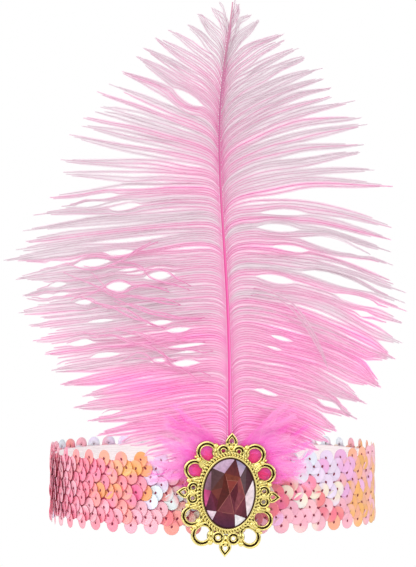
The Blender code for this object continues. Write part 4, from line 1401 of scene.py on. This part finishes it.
class HeadpieceStage(bpy.types.PropertyGroup):
    """Light, floor and camera."""

    key_power: bpy.props.FloatProperty(
        name="Key Light",
        description="Power of the large softbox at the upper left",
        default=17.5,
        unit="POWER",
    )
    fill_power: bpy.props.FloatProperty(
        name="Fill Light",
        description="Power of each of the four smaller softboxes",
        default=10.2,
        unit="POWER",
    )
    floor_height: bpy.props.FloatProperty(
        name="Floor Height",
        description="Height of the floor, well below the band because a wearer's head would carry it",
        default=-0.45,
        unit="LENGTH",
    )
    camera_distance: bpy.props.FloatProperty(
        name="Camera Distance",
        description="From the camera to the middle of the band",
        default=1.44,
        unit="LENGTH",
    )
    camera_azimuth: bpy.props.FloatProperty(
        name="Camera Azimuth",
        description="How far the camera stands round from the brooch, to the right",
        default=math.radians(-5.3),
        subtype="ANGLE",
    )
    camera_height: bpy.props.FloatProperty(
        name="Camera Height",
        description="Height of the level camera above the middle of the band",
        default=118.0 * MM,
        unit="LENGTH",
    )
    camera_slide: bpy.props.FloatProperty(
        name="Camera Slide",
        description="How far the camera is moved to its left",
        default=2.7 * MM,
        unit="LENGTH",
    )
    lens: bpy.props.FloatProperty(
        name="Lens", description="Focal length on a 36 mm high frame", default=153.0 * MM, unit="LENGTH"
    )


def dyed_down(feather, thinness=0.5):
    """Ostrich down, bleached and dipped in pink dye.

    It is matt and soft with a faint sheen, and light passes through it, most where it is thin. The tips and
    the places that the dye missed stay nearly white.
    """
    material, tree = start_material("dyed_ostrich_down")
    dye = add_node(tree, "Attribute", attribute_name="dye")
    share = add_node(tree, "Math", {0: dye.outputs["Fac"], 1: FULL_DYE}, operation="DIVIDE")
    stops = (
        (0.0, feather.pale),
        (0.26 / FULL_DYE, feather.soft),
        (0.62 / FULL_DYE, feather.bright),
        (1.0 / FULL_DYE, feather.deep),
        (1.0, feather.crimson),
    )
    colour = add_node(tree, "ValToRGB", {"Fac": share}, stops=stops)
    front = add_node(
        tree,
        "BsdfPrincipled",
        {
            "Base Color": colour,
            "Roughness": 0.62,
            "IOR": 1.54,
            "Specular IOR Level": 0.3,
            "Sheen Weight": 0.25,
            "Sheen Roughness": 0.45,
            "Sheen Tint": linear("#ffe4f1"),
        },
    )
    through = add_node(tree, "BsdfTranslucent", {"Color": colour})
    both = add_node(tree, "MixShader", {0: thinness, 1: front, 2: through})
    add_node(tree, "OutputMaterial", {"Surface": both})
    return material


def dyed_and_shaded_barb():
    """The barbs' shafts: the same dyed keratin, but smoother and darker, partly by their own dye and partly
    by painted shade, so they show as fine dark lines.
    """
    material, tree = start_material("dyed_barb_shafts_with_painted_shade")
    dye = add_node(tree, "Attribute", attribute_name="dye")
    stops = (
        (0.0, linear("#cfabbd")),
        (0.3, linear("#e280b6")),
        (0.65, linear("#de5ca8")),
        (1.0, linear("#d04e9a")),
    )
    colour = add_node(tree, "ValToRGB", {"Fac": dye.outputs["Fac"]}, stops=stops)
    shader = add_node(tree, "BsdfPrincipled", {"Base Color": colour, "Roughness": 0.5, "IOR": 1.54})
    add_node(tree, "OutputMaterial", {"Surface": shader})
    return material


def dyed_horn():
    """The quill: horn-like keratin that took the dye, darker on its flanks and paler along the ridge on its
    front.

    Its satin gloss is broken by grain about 0.5 mm across and 11 mm long.
    """
    material, tree = start_material("dyed_quill_horn")
    tint = add_node(tree, "Attribute", attribute_name="tint")
    place = add_node(tree, "TexCoord")
    fibres = add_node(tree, "Mapping", {"Vector": place.outputs["Object"], "Scale": (1800.0, 1800.0, 90.0)})
    grain = add_node(tree, "TexNoise", {"Vector": fibres, "Scale": 1.0, "Detail": 2.0})
    gloss = add_node(tree, "MapRange", {"Value": grain, "To Min": 0.32, "To Max": 0.5})
    bump = add_node(tree, "Bump", {"Height": grain, "Strength": 0.25, "Distance": 0.05 * MM})
    shader = add_node(
        tree,
        "BsdfPrincipled",
        {"Base Color": tint, "Roughness": gloss, "IOR": 1.54, "Specular IOR Level": 0.2, "Normal": bump},
    )
    add_node(tree, "OutputMaterial", {"Surface": shader})
    return material


def pearl_sequin():
    """Pearl-coated PVC, punched and cupped: pastel and satin, with a clear gloss. The tints that its pearl
    coat shows as it turns are painted into each sequin's colour.
    """
    material, tree = start_material("pearl_pvc_sequin")
    tint = add_node(tree, "Attribute", attribute_name="tint")
    place = add_node(tree, "TexCoord")
    flakes = add_node(tree, "TexNoise", {"Vector": place.outputs["Object"], "Scale": 1400.0, "Detail": 1.0})
    gloss = add_node(tree, "MapRange", {"Value": flakes, "To Min": 0.2, "To Max": 0.42})
    bump = add_node(tree, "Bump", {"Height": flakes, "Strength": 0.12, "Distance": 0.05 * MM})
    shader = add_node(
        tree,
        "BsdfPrincipled",
        {
            "Base Color": tint,
            "Roughness": gloss,
            "IOR": 1.54,
            "Coat Weight": 0.5,
            "Coat Roughness": 0.12,
            "Normal": bump,
        },
    )
    through = add_node(tree, "BsdfTranslucent", {"Color": tint})
    both = add_node(tree, "MixShader", {0: 0.2, 1: shader, 2: through})
    add_node(tree, "OutputMaterial", {"Surface": both})
    return material


def sewing_thread():
    """Twisted polyester thread, matt and deep crimson."""
    material, tree = start_material("polyester_thread")
    place = add_node(tree, "TexCoord")
    twist = add_node(tree, "TexNoise", {"Vector": place.outputs["Object"], "Scale": 3000.0, "Detail": 1.0})
    stops = ((0.3, linear("#640e2a")), (0.7, linear("#962044")))
    colour = add_node(tree, "ValToRGB", {"Fac": twist}, stops=stops)
    shader = add_node(tree, "BsdfPrincipled", {"Base Color": colour, "Roughness": 0.8, "IOR": 1.5})
    add_node(tree, "OutputMaterial", {"Surface": shader})
    return material


def stretch_webbing(band):
    """Elastic webbing: rubber cords wrapped in woven polyester, with the weft showing as fine upright ribs.

    The weft is 0.4 mm apart and the cords 1.3 mm, so it looks matt and finely ribbed.
    """
    material, tree = start_material("woven_stretch_webbing")
    place = add_node(tree, "UVMap", uv_map="weave")
    turns = add_node(tree, "Mapping", {"Vector": place, "Scale": (1000.0, 1000.0, 1.0)})
    weft = add_node(
        tree,
        "TexWave",
        {"Vector": turns, "Scale": 2 * math.pi / (20 * WEFT_PITCH / MM), "Distortion": 0.6},
        bands_direction="X",
    )
    cords = add_node(
        tree,
        "TexWave",
        {"Vector": turns, "Scale": 2 * math.pi / (20 * CORD_PITCH / MM), "Distortion": 0.3},
        bands_direction="Y",
    )
    height = add_node(tree, "Math", {0: weft.outputs["Fac"], 1: cords.outputs["Fac"]}, operation="MULTIPLY")
    # Outside, under the sequins, the face is rose: partly its own colour, partly painted shade for the gaps
    # between the sequins.
    inner = add_node(tree, "Attribute", attribute_name="inner")
    face = add_node(
        tree, "Mix", {"Factor": inner.outputs["Fac"], "A": band.thread, "B": band.webbing}, data_type="RGBA"
    )
    shade = add_node(tree, "MapRange", {"Value": height, "To Min": 0.86, "To Max": 1.0})
    colour = add_node(tree, "VectorMath", {0: face.outputs["Result"], 1: shade}, operation="MULTIPLY")
    bump = add_node(tree, "Bump", {"Height": height, "Strength": 0.6, "Distance": 0.1 * MM})
    shader = add_node(
        tree,
        "BsdfPrincipled",
        {
            "Base Color": colour,
            "Roughness": 0.85,
            "IOR": 1.5,
            "Sheen Weight": 0.15,
            "Sheen Roughness": 0.5,
            "Normal": bump,
        },
    )
    add_node(tree, "OutputMaterial", {"Surface": shader})
    return material


def elastic_loop():
    """The webbing as a thin closed wall: points, faces and whether a point is on the inside."""
    columns = ELASTIC_COLUMNS
    height = elastic_high.z - elastic_low.z
    rows = int(round(height / CORD_PITCH)) * CORD_ROWS
    inner_up = np.linspace(elastic_low.z, elastic_high.z, rows + 1)
    outer_up = np.linspace(elastic_high.z, elastic_low.z, OUTER_ROWS)
    angles = 2 * np.pi * np.arange(columns) / columns
    outer_inset = BAND_HALF_X - elastic_high.x
    edge = np.minimum(1.0, np.minimum(inner_up - elastic_low.z, elastic_high.z - inner_up) / CORD_FADE)
    relief = CORD_RELIEF * np.abs(np.sin(np.pi * inner_up / CORD_PITCH)) * edge
    seam = np.abs(angles - BACK_ANGLE) * BAND_HALF_X < SEAM_WIDTH / 2
    levels = []
    for up, rise in zip(inner_up, relief):
        levels.append((up, outer_inset + ELASTIC_WALL - CORD_SINK + rise + SEAM_RISE * seam, 1.0))
    for up in outer_up:
        levels.append((up, np.full(columns, outer_inset), 0.0))
    points, inner = [], []
    for up, inset, inside in levels:
        ring, _, _ = band_frame(angles, inset[:, None])
        ring[:, 2] = up
        points.append(ring)
        inner.append(np.full(columns, inside))
    points = np.concatenate(points)
    faces = ring_faces(len(levels), columns, closed_rows=True)[:, ::-1]
    return points, faces, np.concatenate(inner)


def write_weave_map(piece):
    """A map in metres round the band and up it, so that the weave keeps its real scale."""
    columns = ELASTIC_COLUMNS
    mesh = piece.data
    layer = mesh.uv_layers.new(name="weave")
    corners = np.empty(len(mesh.loops), dtype=np.int32)
    mesh.loops.foreach_get("vertex_index", corners)
    places = np.empty(len(mesh.vertices) * 3, dtype=np.float32)
    mesh.vertices.foreach_get("co", places)
    places = places.reshape(-1, 3)[corners]
    column = (corners % columns).reshape(-1, 4).astype(float)
    wraps = (column.max(axis=1, keepdims=True) - column.min(axis=1, keepdims=True)) > columns / 2
    column = np.where(wraps & (column < columns / 2), column + columns, column).ravel()
    around = column / columns * math.pi * (BAND_HALF_X + BAND_HALF_Y)
    layer.data.foreach_set("uv", np.stack([around, places[:, 2]], axis=-1).astype(np.float32).ravel())


def seam_stitches():
    """Two upright zigzag rows that hold the webbing's overlap at the back, on its inner face."""
    rows = []
    for side in (-1, 1):
        middle = BACK_ANGLE + side * (SEAM_WIDTH / 2 - SEAM_ROW_INSET) / BAND_HALF_X
        up = np.arange(elastic_low.z + SEAM_MARGIN, elastic_high.z - SEAM_MARGIN, STITCH_STEP)
        swing = np.where(np.arange(len(up)) % 2, 1.0, -1.0) * STITCH_SWING / BAND_HALF_X
        inset = BAND_HALF_X - elastic_high.x + ELASTIC_WALL + SEAM_RISE + STITCH_LIFT
        path, _, _ = band_frame(middle + swing, inset)
        path[:, 2] = up
        rows.append(path)
    return rows


class HEADPIECE_OT_elastic(bpy.types.Operator):
    """Weave the stretch webbing in the place of its plain wall, with its back seam sewn"""

    bl_idname = "headpiece.elastic"
    bl_label = "Elastic"

    def execute(self, context):
        band = context.scene.headpiece_band
        points, faces, inner = elastic_loop()
        material = stretch_webbing(band)
        webbing = add_piece("elastic_webbing", points, faces, material, {"inner": inner})
        write_weave_map(webbing)
        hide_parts("elastic_band")
        parts = []
        for path in seam_stitches():
            parts.append(tube(path, np.full(len(path), STITCH_RADIUS), STITCH_SIDES))
        points, faces, _ = join_parts(parts)
        add_piece("seam_stitches", points, faces, sewing_thread())
        return {"FINISHED"}


class HEADPIECE_OT_sequins(bpy.types.Operator):
    """Sew on the three chains of sequins in the place of their plain layer"""

    bl_idname = "headpiece.sequins"
    bl_label = "Sequins"

    def execute(self, context):
        band = context.scene.headpiece_band
        points, faces, tints = sequin_field(band, np.random.default_rng(SEQUIN_SEED))
        material = pearl_sequin()
        piece = add_piece("sequins", points, faces, material, {"tint": tints}, smooth=False)
        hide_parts("sequin_trim")
        points, faces = stitch_knots(np.random.default_rng(SEQUIN_SEED))
        add_piece("sequin_knots", points, faces, sewing_thread())
        return {"FINISHED"}


def needled_felt():
    """Needle-punched felt: matt, with short fibres lying every way, about 0.3 mm apart."""
    material, tree = start_material("needled_wool_felt")
    place = add_node(tree, "TexCoord")
    fibres = add_node(
        tree,
        "TexNoise",
        {"Vector": place.outputs["Object"], "Scale": 1 / (0.3 * MM), "Detail": 4.0, "Distortion": 1.5},
    )
    stops = ((0.3, linear("#d9d4cf")), (0.7, linear("#f1eeea")))
    colour = add_node(tree, "ValToRGB", {"Fac": fibres}, stops=stops)
    bump = add_node(tree, "Bump", {"Height": fibres, "Strength": 0.7, "Distance": 0.2 * MM})
    shader = add_node(
        tree, "BsdfPrincipled", {"Base Color": colour, "Roughness": 0.95, "IOR": 1.5, "Normal": bump}
    )
    add_node(tree, "OutputMaterial", {"Surface": shader})
    return material


class HEADPIECE_OT_pad(bpy.types.Operator):
    """Give the hidden fixing pad its felt"""

    bl_idname = "headpiece.pad"
    bl_label = "Fixing Pad"

    def execute(self, context):
        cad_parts["fixing_pad"].material_slots[0].material = needled_felt()
        return {"FINISHED"}


def tints_by_height(height, column):
    """Colours of one column of the quill's table at these heights."""
    heights = [row[0] * MM for row in QUILL_TINTS]
    colours = np.array([linear(row[column]) for row in QUILL_TINTS])
    return np.stack([np.interp(height, heights, colours[:, channel]) for channel in range(4)], axis=-1)


class HEADPIECE_OT_quill(bpy.types.Operator):
    """Build the feather's shaft in the place of its plain solid"""

    bl_idname = "headpiece.quill"
    bl_label = "Quill"

    def execute(self, context):
        heights = np.linspace(QUILL_BASE_Z + QUILL_MARGIN, QUILL_TOP_Z - QUILL_MARGIN, QUILL_RINGS)
        points, faces, turn = tube(quill_points(heights), quill_radius(heights), QUILL_SIDES)
        crest = np.exp(-(((np.cos(turn) + RIDGE_SIDE) / RIDGE_SPREAD) ** 2))[:, None]
        tints = mix(tints_by_height(points[:, 2], 1), tints_by_height(points[:, 2], 2), crest)
        piece = add_piece("quill", points, faces, dyed_horn(), {"tint": tints})
        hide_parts("feather_quill")
        return {"FINISHED"}


class HEADPIECE_OT_vanes(bpy.types.Operator):
    """Build both halves of the feather, barb by barb, in the place of its plain sheets"""

    bl_idname = "headpiece.vanes"
    bl_label = "Vanes"

    def execute(self, context):
        feather = context.scene.headpiece_feather
        shaft, down = dyed_and_shaded_barb(), dyed_down(feather)
        for side, locks, climbs, gaps, word in (
            (-1, LEFT_LOCKS, LEFT_CLIMBS, LEFT_GAPS, "left"),
            (1, RIGHT_LOCKS, RIGHT_CLIMBS, RIGHT_GAPS, "right"),
        ):
            rng = np.random.default_rng(VANE_SEED + side)
            vane = Vane(side, locks, climbs, feather.barb_pitch, rng)
            dress_vane(vane, locks, gaps, rng, feather, shaft, down, f"vane_{word}", f"feather_vane_{word}")
        return {"FINISHED"}


class HEADPIECE_OT_down(bpy.types.Operator):
    """Lay the loose barbs over the vane, and grow the downy tuft at the quill's foot"""

    bl_idname = "headpiece.down"
    bl_label = "Loose Barbs and Down"

    def execute(self, context):
        feather = context.scene.headpiece_feather
        rng = np.random.default_rng(DOWN_SEED)
        lines, tones = stray_lines(rng)
        add_loose_barbs("stray_barb", lines, tones, STRAY_REACH, feather.barbule_length, 0.0, feather, rng)
        lines, tones = down_lines(rng)
        reach, hair_length = feather.down_reach, feather.down_length
        add_loose_barbs("down_tuft", lines, tones, reach, hair_length, 1.0, feather, rng)
        return {"FINISHED"}


def gold_plate(brooch):
    """A zinc casting plated in bright yellow gold: mirror-like, with shade painted dark and less metallic
    into its grooves and hollows.

    Fine pits of the casting, about 0.4 mm apart, blur the reflections a little.
    """
    material, tree = start_material("gold_plated_casting")
    painted_shade = add_node(tree, "Attribute", attribute_name="painted_shade")
    place = add_node(tree, "TexCoord")
    pits = add_node(
        tree, "TexNoise", {"Vector": place.outputs["Object"], "Scale": 1 / (0.4 * MM), "Detail": 2.0}
    )
    # The plating turns dark and less metallic where shade is painted.
    colour = add_node(
        tree, "Mix", {"Factor": painted_shade.outputs["Fac"], "A": brooch.gold, "B": brooch.painted_shade}, data_type="RGBA"
    )
    gloss = add_node(tree, "MapRange", {"Value": pits, "To Min": 0.1, "To Max": 0.24})
    bare = add_node(
        tree, "MapRange", {"Value": painted_shade.outputs["Fac"], "From Min": 0.4, "To Min": 1.0, "To Max": 0.75}
    )
    dulled = add_node(tree, "Math", {0: painted_shade.outputs["Fac"], 1: 0.4, 2: gloss}, operation="MULTIPLY_ADD")
    bump = add_node(tree, "Bump", {"Height": pits, "Strength": 0.15, "Distance": 0.05 * MM})
    shader = add_node(
        tree,
        "BsdfPrincipled",
        {"Base Color": colour.outputs["Result"], "Metallic": bare, "Roughness": dulled, "Normal": bump},
    )
    add_node(tree, "OutputMaterial", {"Surface": shader})
    return material


def plum_acrylic():
    """Cut acrylic on foil. Its facets carry the plum of the stone with the reflections that the foil and the
    cut back give it painted in.
    """
    material, tree = start_material("foiled_plum_acrylic")
    tint = add_node(tree, "Attribute", attribute_name="tint")
    place = add_node(tree, "TexCoord")
    haze = add_node(
        tree,
        "TexNoise",
        {"Vector": place.outputs["Object"], "Scale": 1 / (3.5 * MM), "Detail": 3.0, "Distortion": 1.5},
    )
    depth = add_node(tree, "MapRange", {"Value": haze, "To Min": 0.35, "To Max": 1.05})
    colour = add_node(tree, "VectorMath", {0: tint, 1: depth}, operation="MULTIPLY")
    shader = add_node(
        tree,
        "BsdfPrincipled",
        {"Base Color": colour, "Roughness": 0.06, "IOR": 1.49, "Specular IOR Level": 0.2},
    )
    add_node(tree, "OutputMaterial", {"Surface": shader})
    return material


class HEADPIECE_OT_setting(bpy.types.Operator):
    """Cast the pierced gold setting in the place of its plain solid"""

    bl_idname = "headpiece.setting"
    bl_label = "Setting"

    def execute(self, context):
        points, faces, painted_shades = join_parts(setting_parts())
        material = gold_plate(context.scene.headpiece_brooch)
        piece = add_piece("gold_setting", on_brooch(points), faces, material, {"painted_shade": painted_shades})
        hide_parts("brooch_setting")
        return {"FINISHED"}


class HEADPIECE_OT_stone(bpy.types.Operator):
    """Cut the oval stone in the place of its plain solid"""

    bl_idname = "headpiece.stone"
    bl_label = "Stone"

    def execute(self, context):
        points, faces, tints = stone_arrays()
        piece = add_piece(
            "cut_stone", on_brooch(points), faces, plum_acrylic(), {"tint": tints}, smooth=False
        )
        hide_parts("brooch_stone")
        return {"FINISHED"}


def stage_floor(material, height, radius=6.0):
    """A round floor, which its material fades into the white surround."""
    sides = 96
    angles = 2 * np.pi * np.arange(sides) / sides
    rim = np.stack([radius * np.cos(angles), radius * np.sin(angles), np.full(sides, height)], axis=-1)
    mesh = bpy.data.meshes.new("floor")
    mesh.from_pydata(rim.tolist(), [], [list(range(sides))])
    mesh.materials.append(material)
    floor = bpy.data.objects.new("floor", mesh)
    bpy.context.scene.collection.objects.link(floor)
    floor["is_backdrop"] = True


def pale_floor():
    """Seamless studio paper: matt and pale, fading to plain white away from the middle."""
    material, tree = start_material("studio_paper")
    place = add_node(tree, "TexCoord")
    away = add_node(tree, "VectorMath", {0: place.outputs["Object"]}, operation="LENGTH")
    fade = add_node(
        tree,
        "MapRange",
        {"Value": away.outputs["Value"], "From Min": 1.2, "From Max": 3.0},
        interpolation_type="SMOOTHSTEP",
    )
    paper = add_node(
        tree, "BsdfPrincipled", {"Base Color": linear("#e9e7e4"), "Roughness": 0.9, "IOR": 1.45}
    )
    white = add_node(tree, "Emission", {"Color": linear("#ffffff"), "Strength": 1.0})
    both = add_node(tree, "MixShader", {0: fade, 1: paper, 2: white})
    add_node(tree, "OutputMaterial", {"Surface": both})
    return material


def softbox(name, place, size, power, target=(0.0, 0.0, 0.1)):
    """A square area light that faces the headpiece."""
    light = bpy.data.lights.new(name, "AREA")
    light.shape = "SQUARE"
    light.size = size
    light.energy = power
    lamp = bpy.data.objects.new(name, light)
    lamp.location = place
    lamp.rotation_euler = (Vector(place) - Vector(target)).to_track_quat("Z", "Y").to_euler()
    bpy.context.scene.collection.objects.link(lamp)


def white_surround():
    """A white world to the camera. As a light it is brighter above than below, like a studio tent."""
    world = bpy.data.worlds.new("studio_tent")
    world.use_nodes = True
    tree = world.node_tree
    tree.nodes.clear()
    place = add_node(tree, "TexCoord")
    axes = add_node(tree, "SeparateXYZ", {0: place.outputs["Generated"]})
    height = add_node(tree, "MapRange", {"Value": axes.outputs["Z"], "From Min": -1.0, "From Max": 1.0})
    stops = (
        (0.0, linear("#dedbd9")),
        (0.42, linear("#eeeded")),
        (0.55, linear("#f8f8f9")),
        (1.0, linear("#ffffff")),
    )
    shade = add_node(tree, "ValToRGB", {"Fac": height}, stops=stops)
    stops = (
        (0.0, linear("#5a5550")),
        (0.38, linear("#8a8580")),
        (0.45, linear("#14110e")),
        (0.53, linear("#1c1814")),
        (0.57, linear("#ffffff")),
        (0.72, linear("#ffffff")),
        (0.76, linear("#3a3430")),
        (0.82, linear("#f4f4f4")),
    )
    mirrored = add_node(tree, "ValToRGB", {"Fac": height}, stops=stops)
    path = add_node(tree, "LightPath")
    front = add_node(tree, "MapRange", {"Value": axes.outputs["Y"], "From Min": 0.1, "From Max": -0.3})
    share = add_node(tree, "Math", {0: path.outputs["Is Glossy Ray"], 1: front}, operation="MULTIPLY")
    lit = add_node(tree, "Mix", {"Factor": share, "A": shade, "B": mirrored}, data_type="RGBA")
    glow = add_node(tree, "Background", {"Color": lit.outputs["Result"], "Strength": 1.0})
    white = add_node(tree, "Background", {"Color": linear("#ffffff"), "Strength": 1.0})
    both = add_node(tree, "MixShader", {0: path.outputs["Is Camera Ray"], 1: glow, 2: white})
    add_node(tree, "OutputWorld", {"Surface": both})
    bpy.context.scene.world = world


class HEADPIECE_OT_stage(bpy.types.Operator):
    """Set up the pale floor, the soft studio light and the camera"""

    bl_idname = "headpiece.stage"
    bl_label = "Stage"

    def execute(self, context):
        stage = context.scene.headpiece_stage
        white_surround()
        stage_floor(pale_floor(), stage.floor_height)
        softbox("key_softbox", (-1.8, -1.7, 1.4), 1.3, stage.key_power)
        softbox("fill_softbox", (1.9, -1.6, 0.6), 1.1, stage.fill_power)
        softbox("front_softbox", (-0.3, -2.4, 0.8), 1.3, stage.fill_power)
        softbox("side_softbox", (-2.4, -0.2, 0.5), 1.1, stage.fill_power)
        softbox("back_softbox", (0.5, 2.2, 1.3), 1.5, stage.fill_power)
        turn = stage.camera_azimuth
        back = Vector((math.sin(turn), -math.cos(turn), 0.0))
        right = Vector((math.cos(turn), math.sin(turn), 0.0))
        lens = bpy.data.cameras.new("camera")
        lens.sensor_fit = "AUTO"
        lens.sensor_width = 36.0
        lens.lens = stage.lens / MM
        camera = bpy.data.objects.new("camera", lens)
        camera.location = back * stage.camera_distance - right * stage.camera_slide
        camera.location.z = stage.camera_height
        camera.rotation_euler = Euler((math.pi / 2, 0.0, turn))
        context.scene.collection.objects.link(camera)
        context.scene.camera = camera
        context.scene.view_settings.view_transform = "Standard"
        return {"FINISHED"}


class HEADPIECE_PT_panel(bpy.types.Panel):
    """The headpiece's sizes, colours and pieces"""

    bl_label = "Headpiece"
    bl_idname = "HEADPIECE_PT_panel"
    bl_space_type = "VIEW_3D"
    bl_region_type = "UI"
    bl_category = "Headpiece"

    def draw(self, context):
        for settings in SETTINGS:
            group = getattr(context.scene, settings)
            box = self.layout.box()
            for name in group.bl_rna.properties.keys():
                if name not in {"rna_type", "name"}:
                    box.prop(group, name)
        for operator in OPERATORS:
            self.layout.operator(operator.bl_idname)


OPERATORS = (
    HEADPIECE_OT_stage,
    HEADPIECE_OT_elastic,
    HEADPIECE_OT_sequins,
    HEADPIECE_OT_quill,
    HEADPIECE_OT_vanes,
    HEADPIECE_OT_down,
    HEADPIECE_OT_setting,
    HEADPIECE_OT_stone,
    HEADPIECE_OT_pad,
)
SETTINGS = {
    "headpiece_band": HeadpieceBand,
    "headpiece_brooch": HeadpieceBrooch,
    "headpiece_feather": HeadpieceFeather,
    "headpiece_stage": HeadpieceStage,
}


def register():
    for kind in (*SETTINGS.values(), *OPERATORS, HEADPIECE_PT_panel):
        bpy.utils.register_class(kind)
    for name, kind in SETTINGS.items():
        setattr(bpy.types.Scene, name, bpy.props.PointerProperty(type=kind))


def unregister():
    for name in SETTINGS:
        delattr(bpy.types.Scene, name)
    for kind in reversed((*SETTINGS.values(), *OPERATORS, HEADPIECE_PT_panel)):
        bpy.utils.unregister_class(kind)


def main():
    register()
    bpy.ops.headpiece.stage()
    bpy.ops.headpiece.elastic()
    bpy.ops.headpiece.sequins()
    bpy.ops.headpiece.quill()
    bpy.ops.headpiece.vanes()
    bpy.ops.headpiece.down()
    bpy.ops.headpiece.setting()
    bpy.ops.headpiece.stone()
    bpy.ops.headpiece.pad()
    bpy.context.view_layer.update()
    sizes = {
        "cad": [list(corner) for corner in (cad_low, cad_high)],
        "visual": [list(corner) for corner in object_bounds()],
    }


if __name__ == "__main__":
    main()
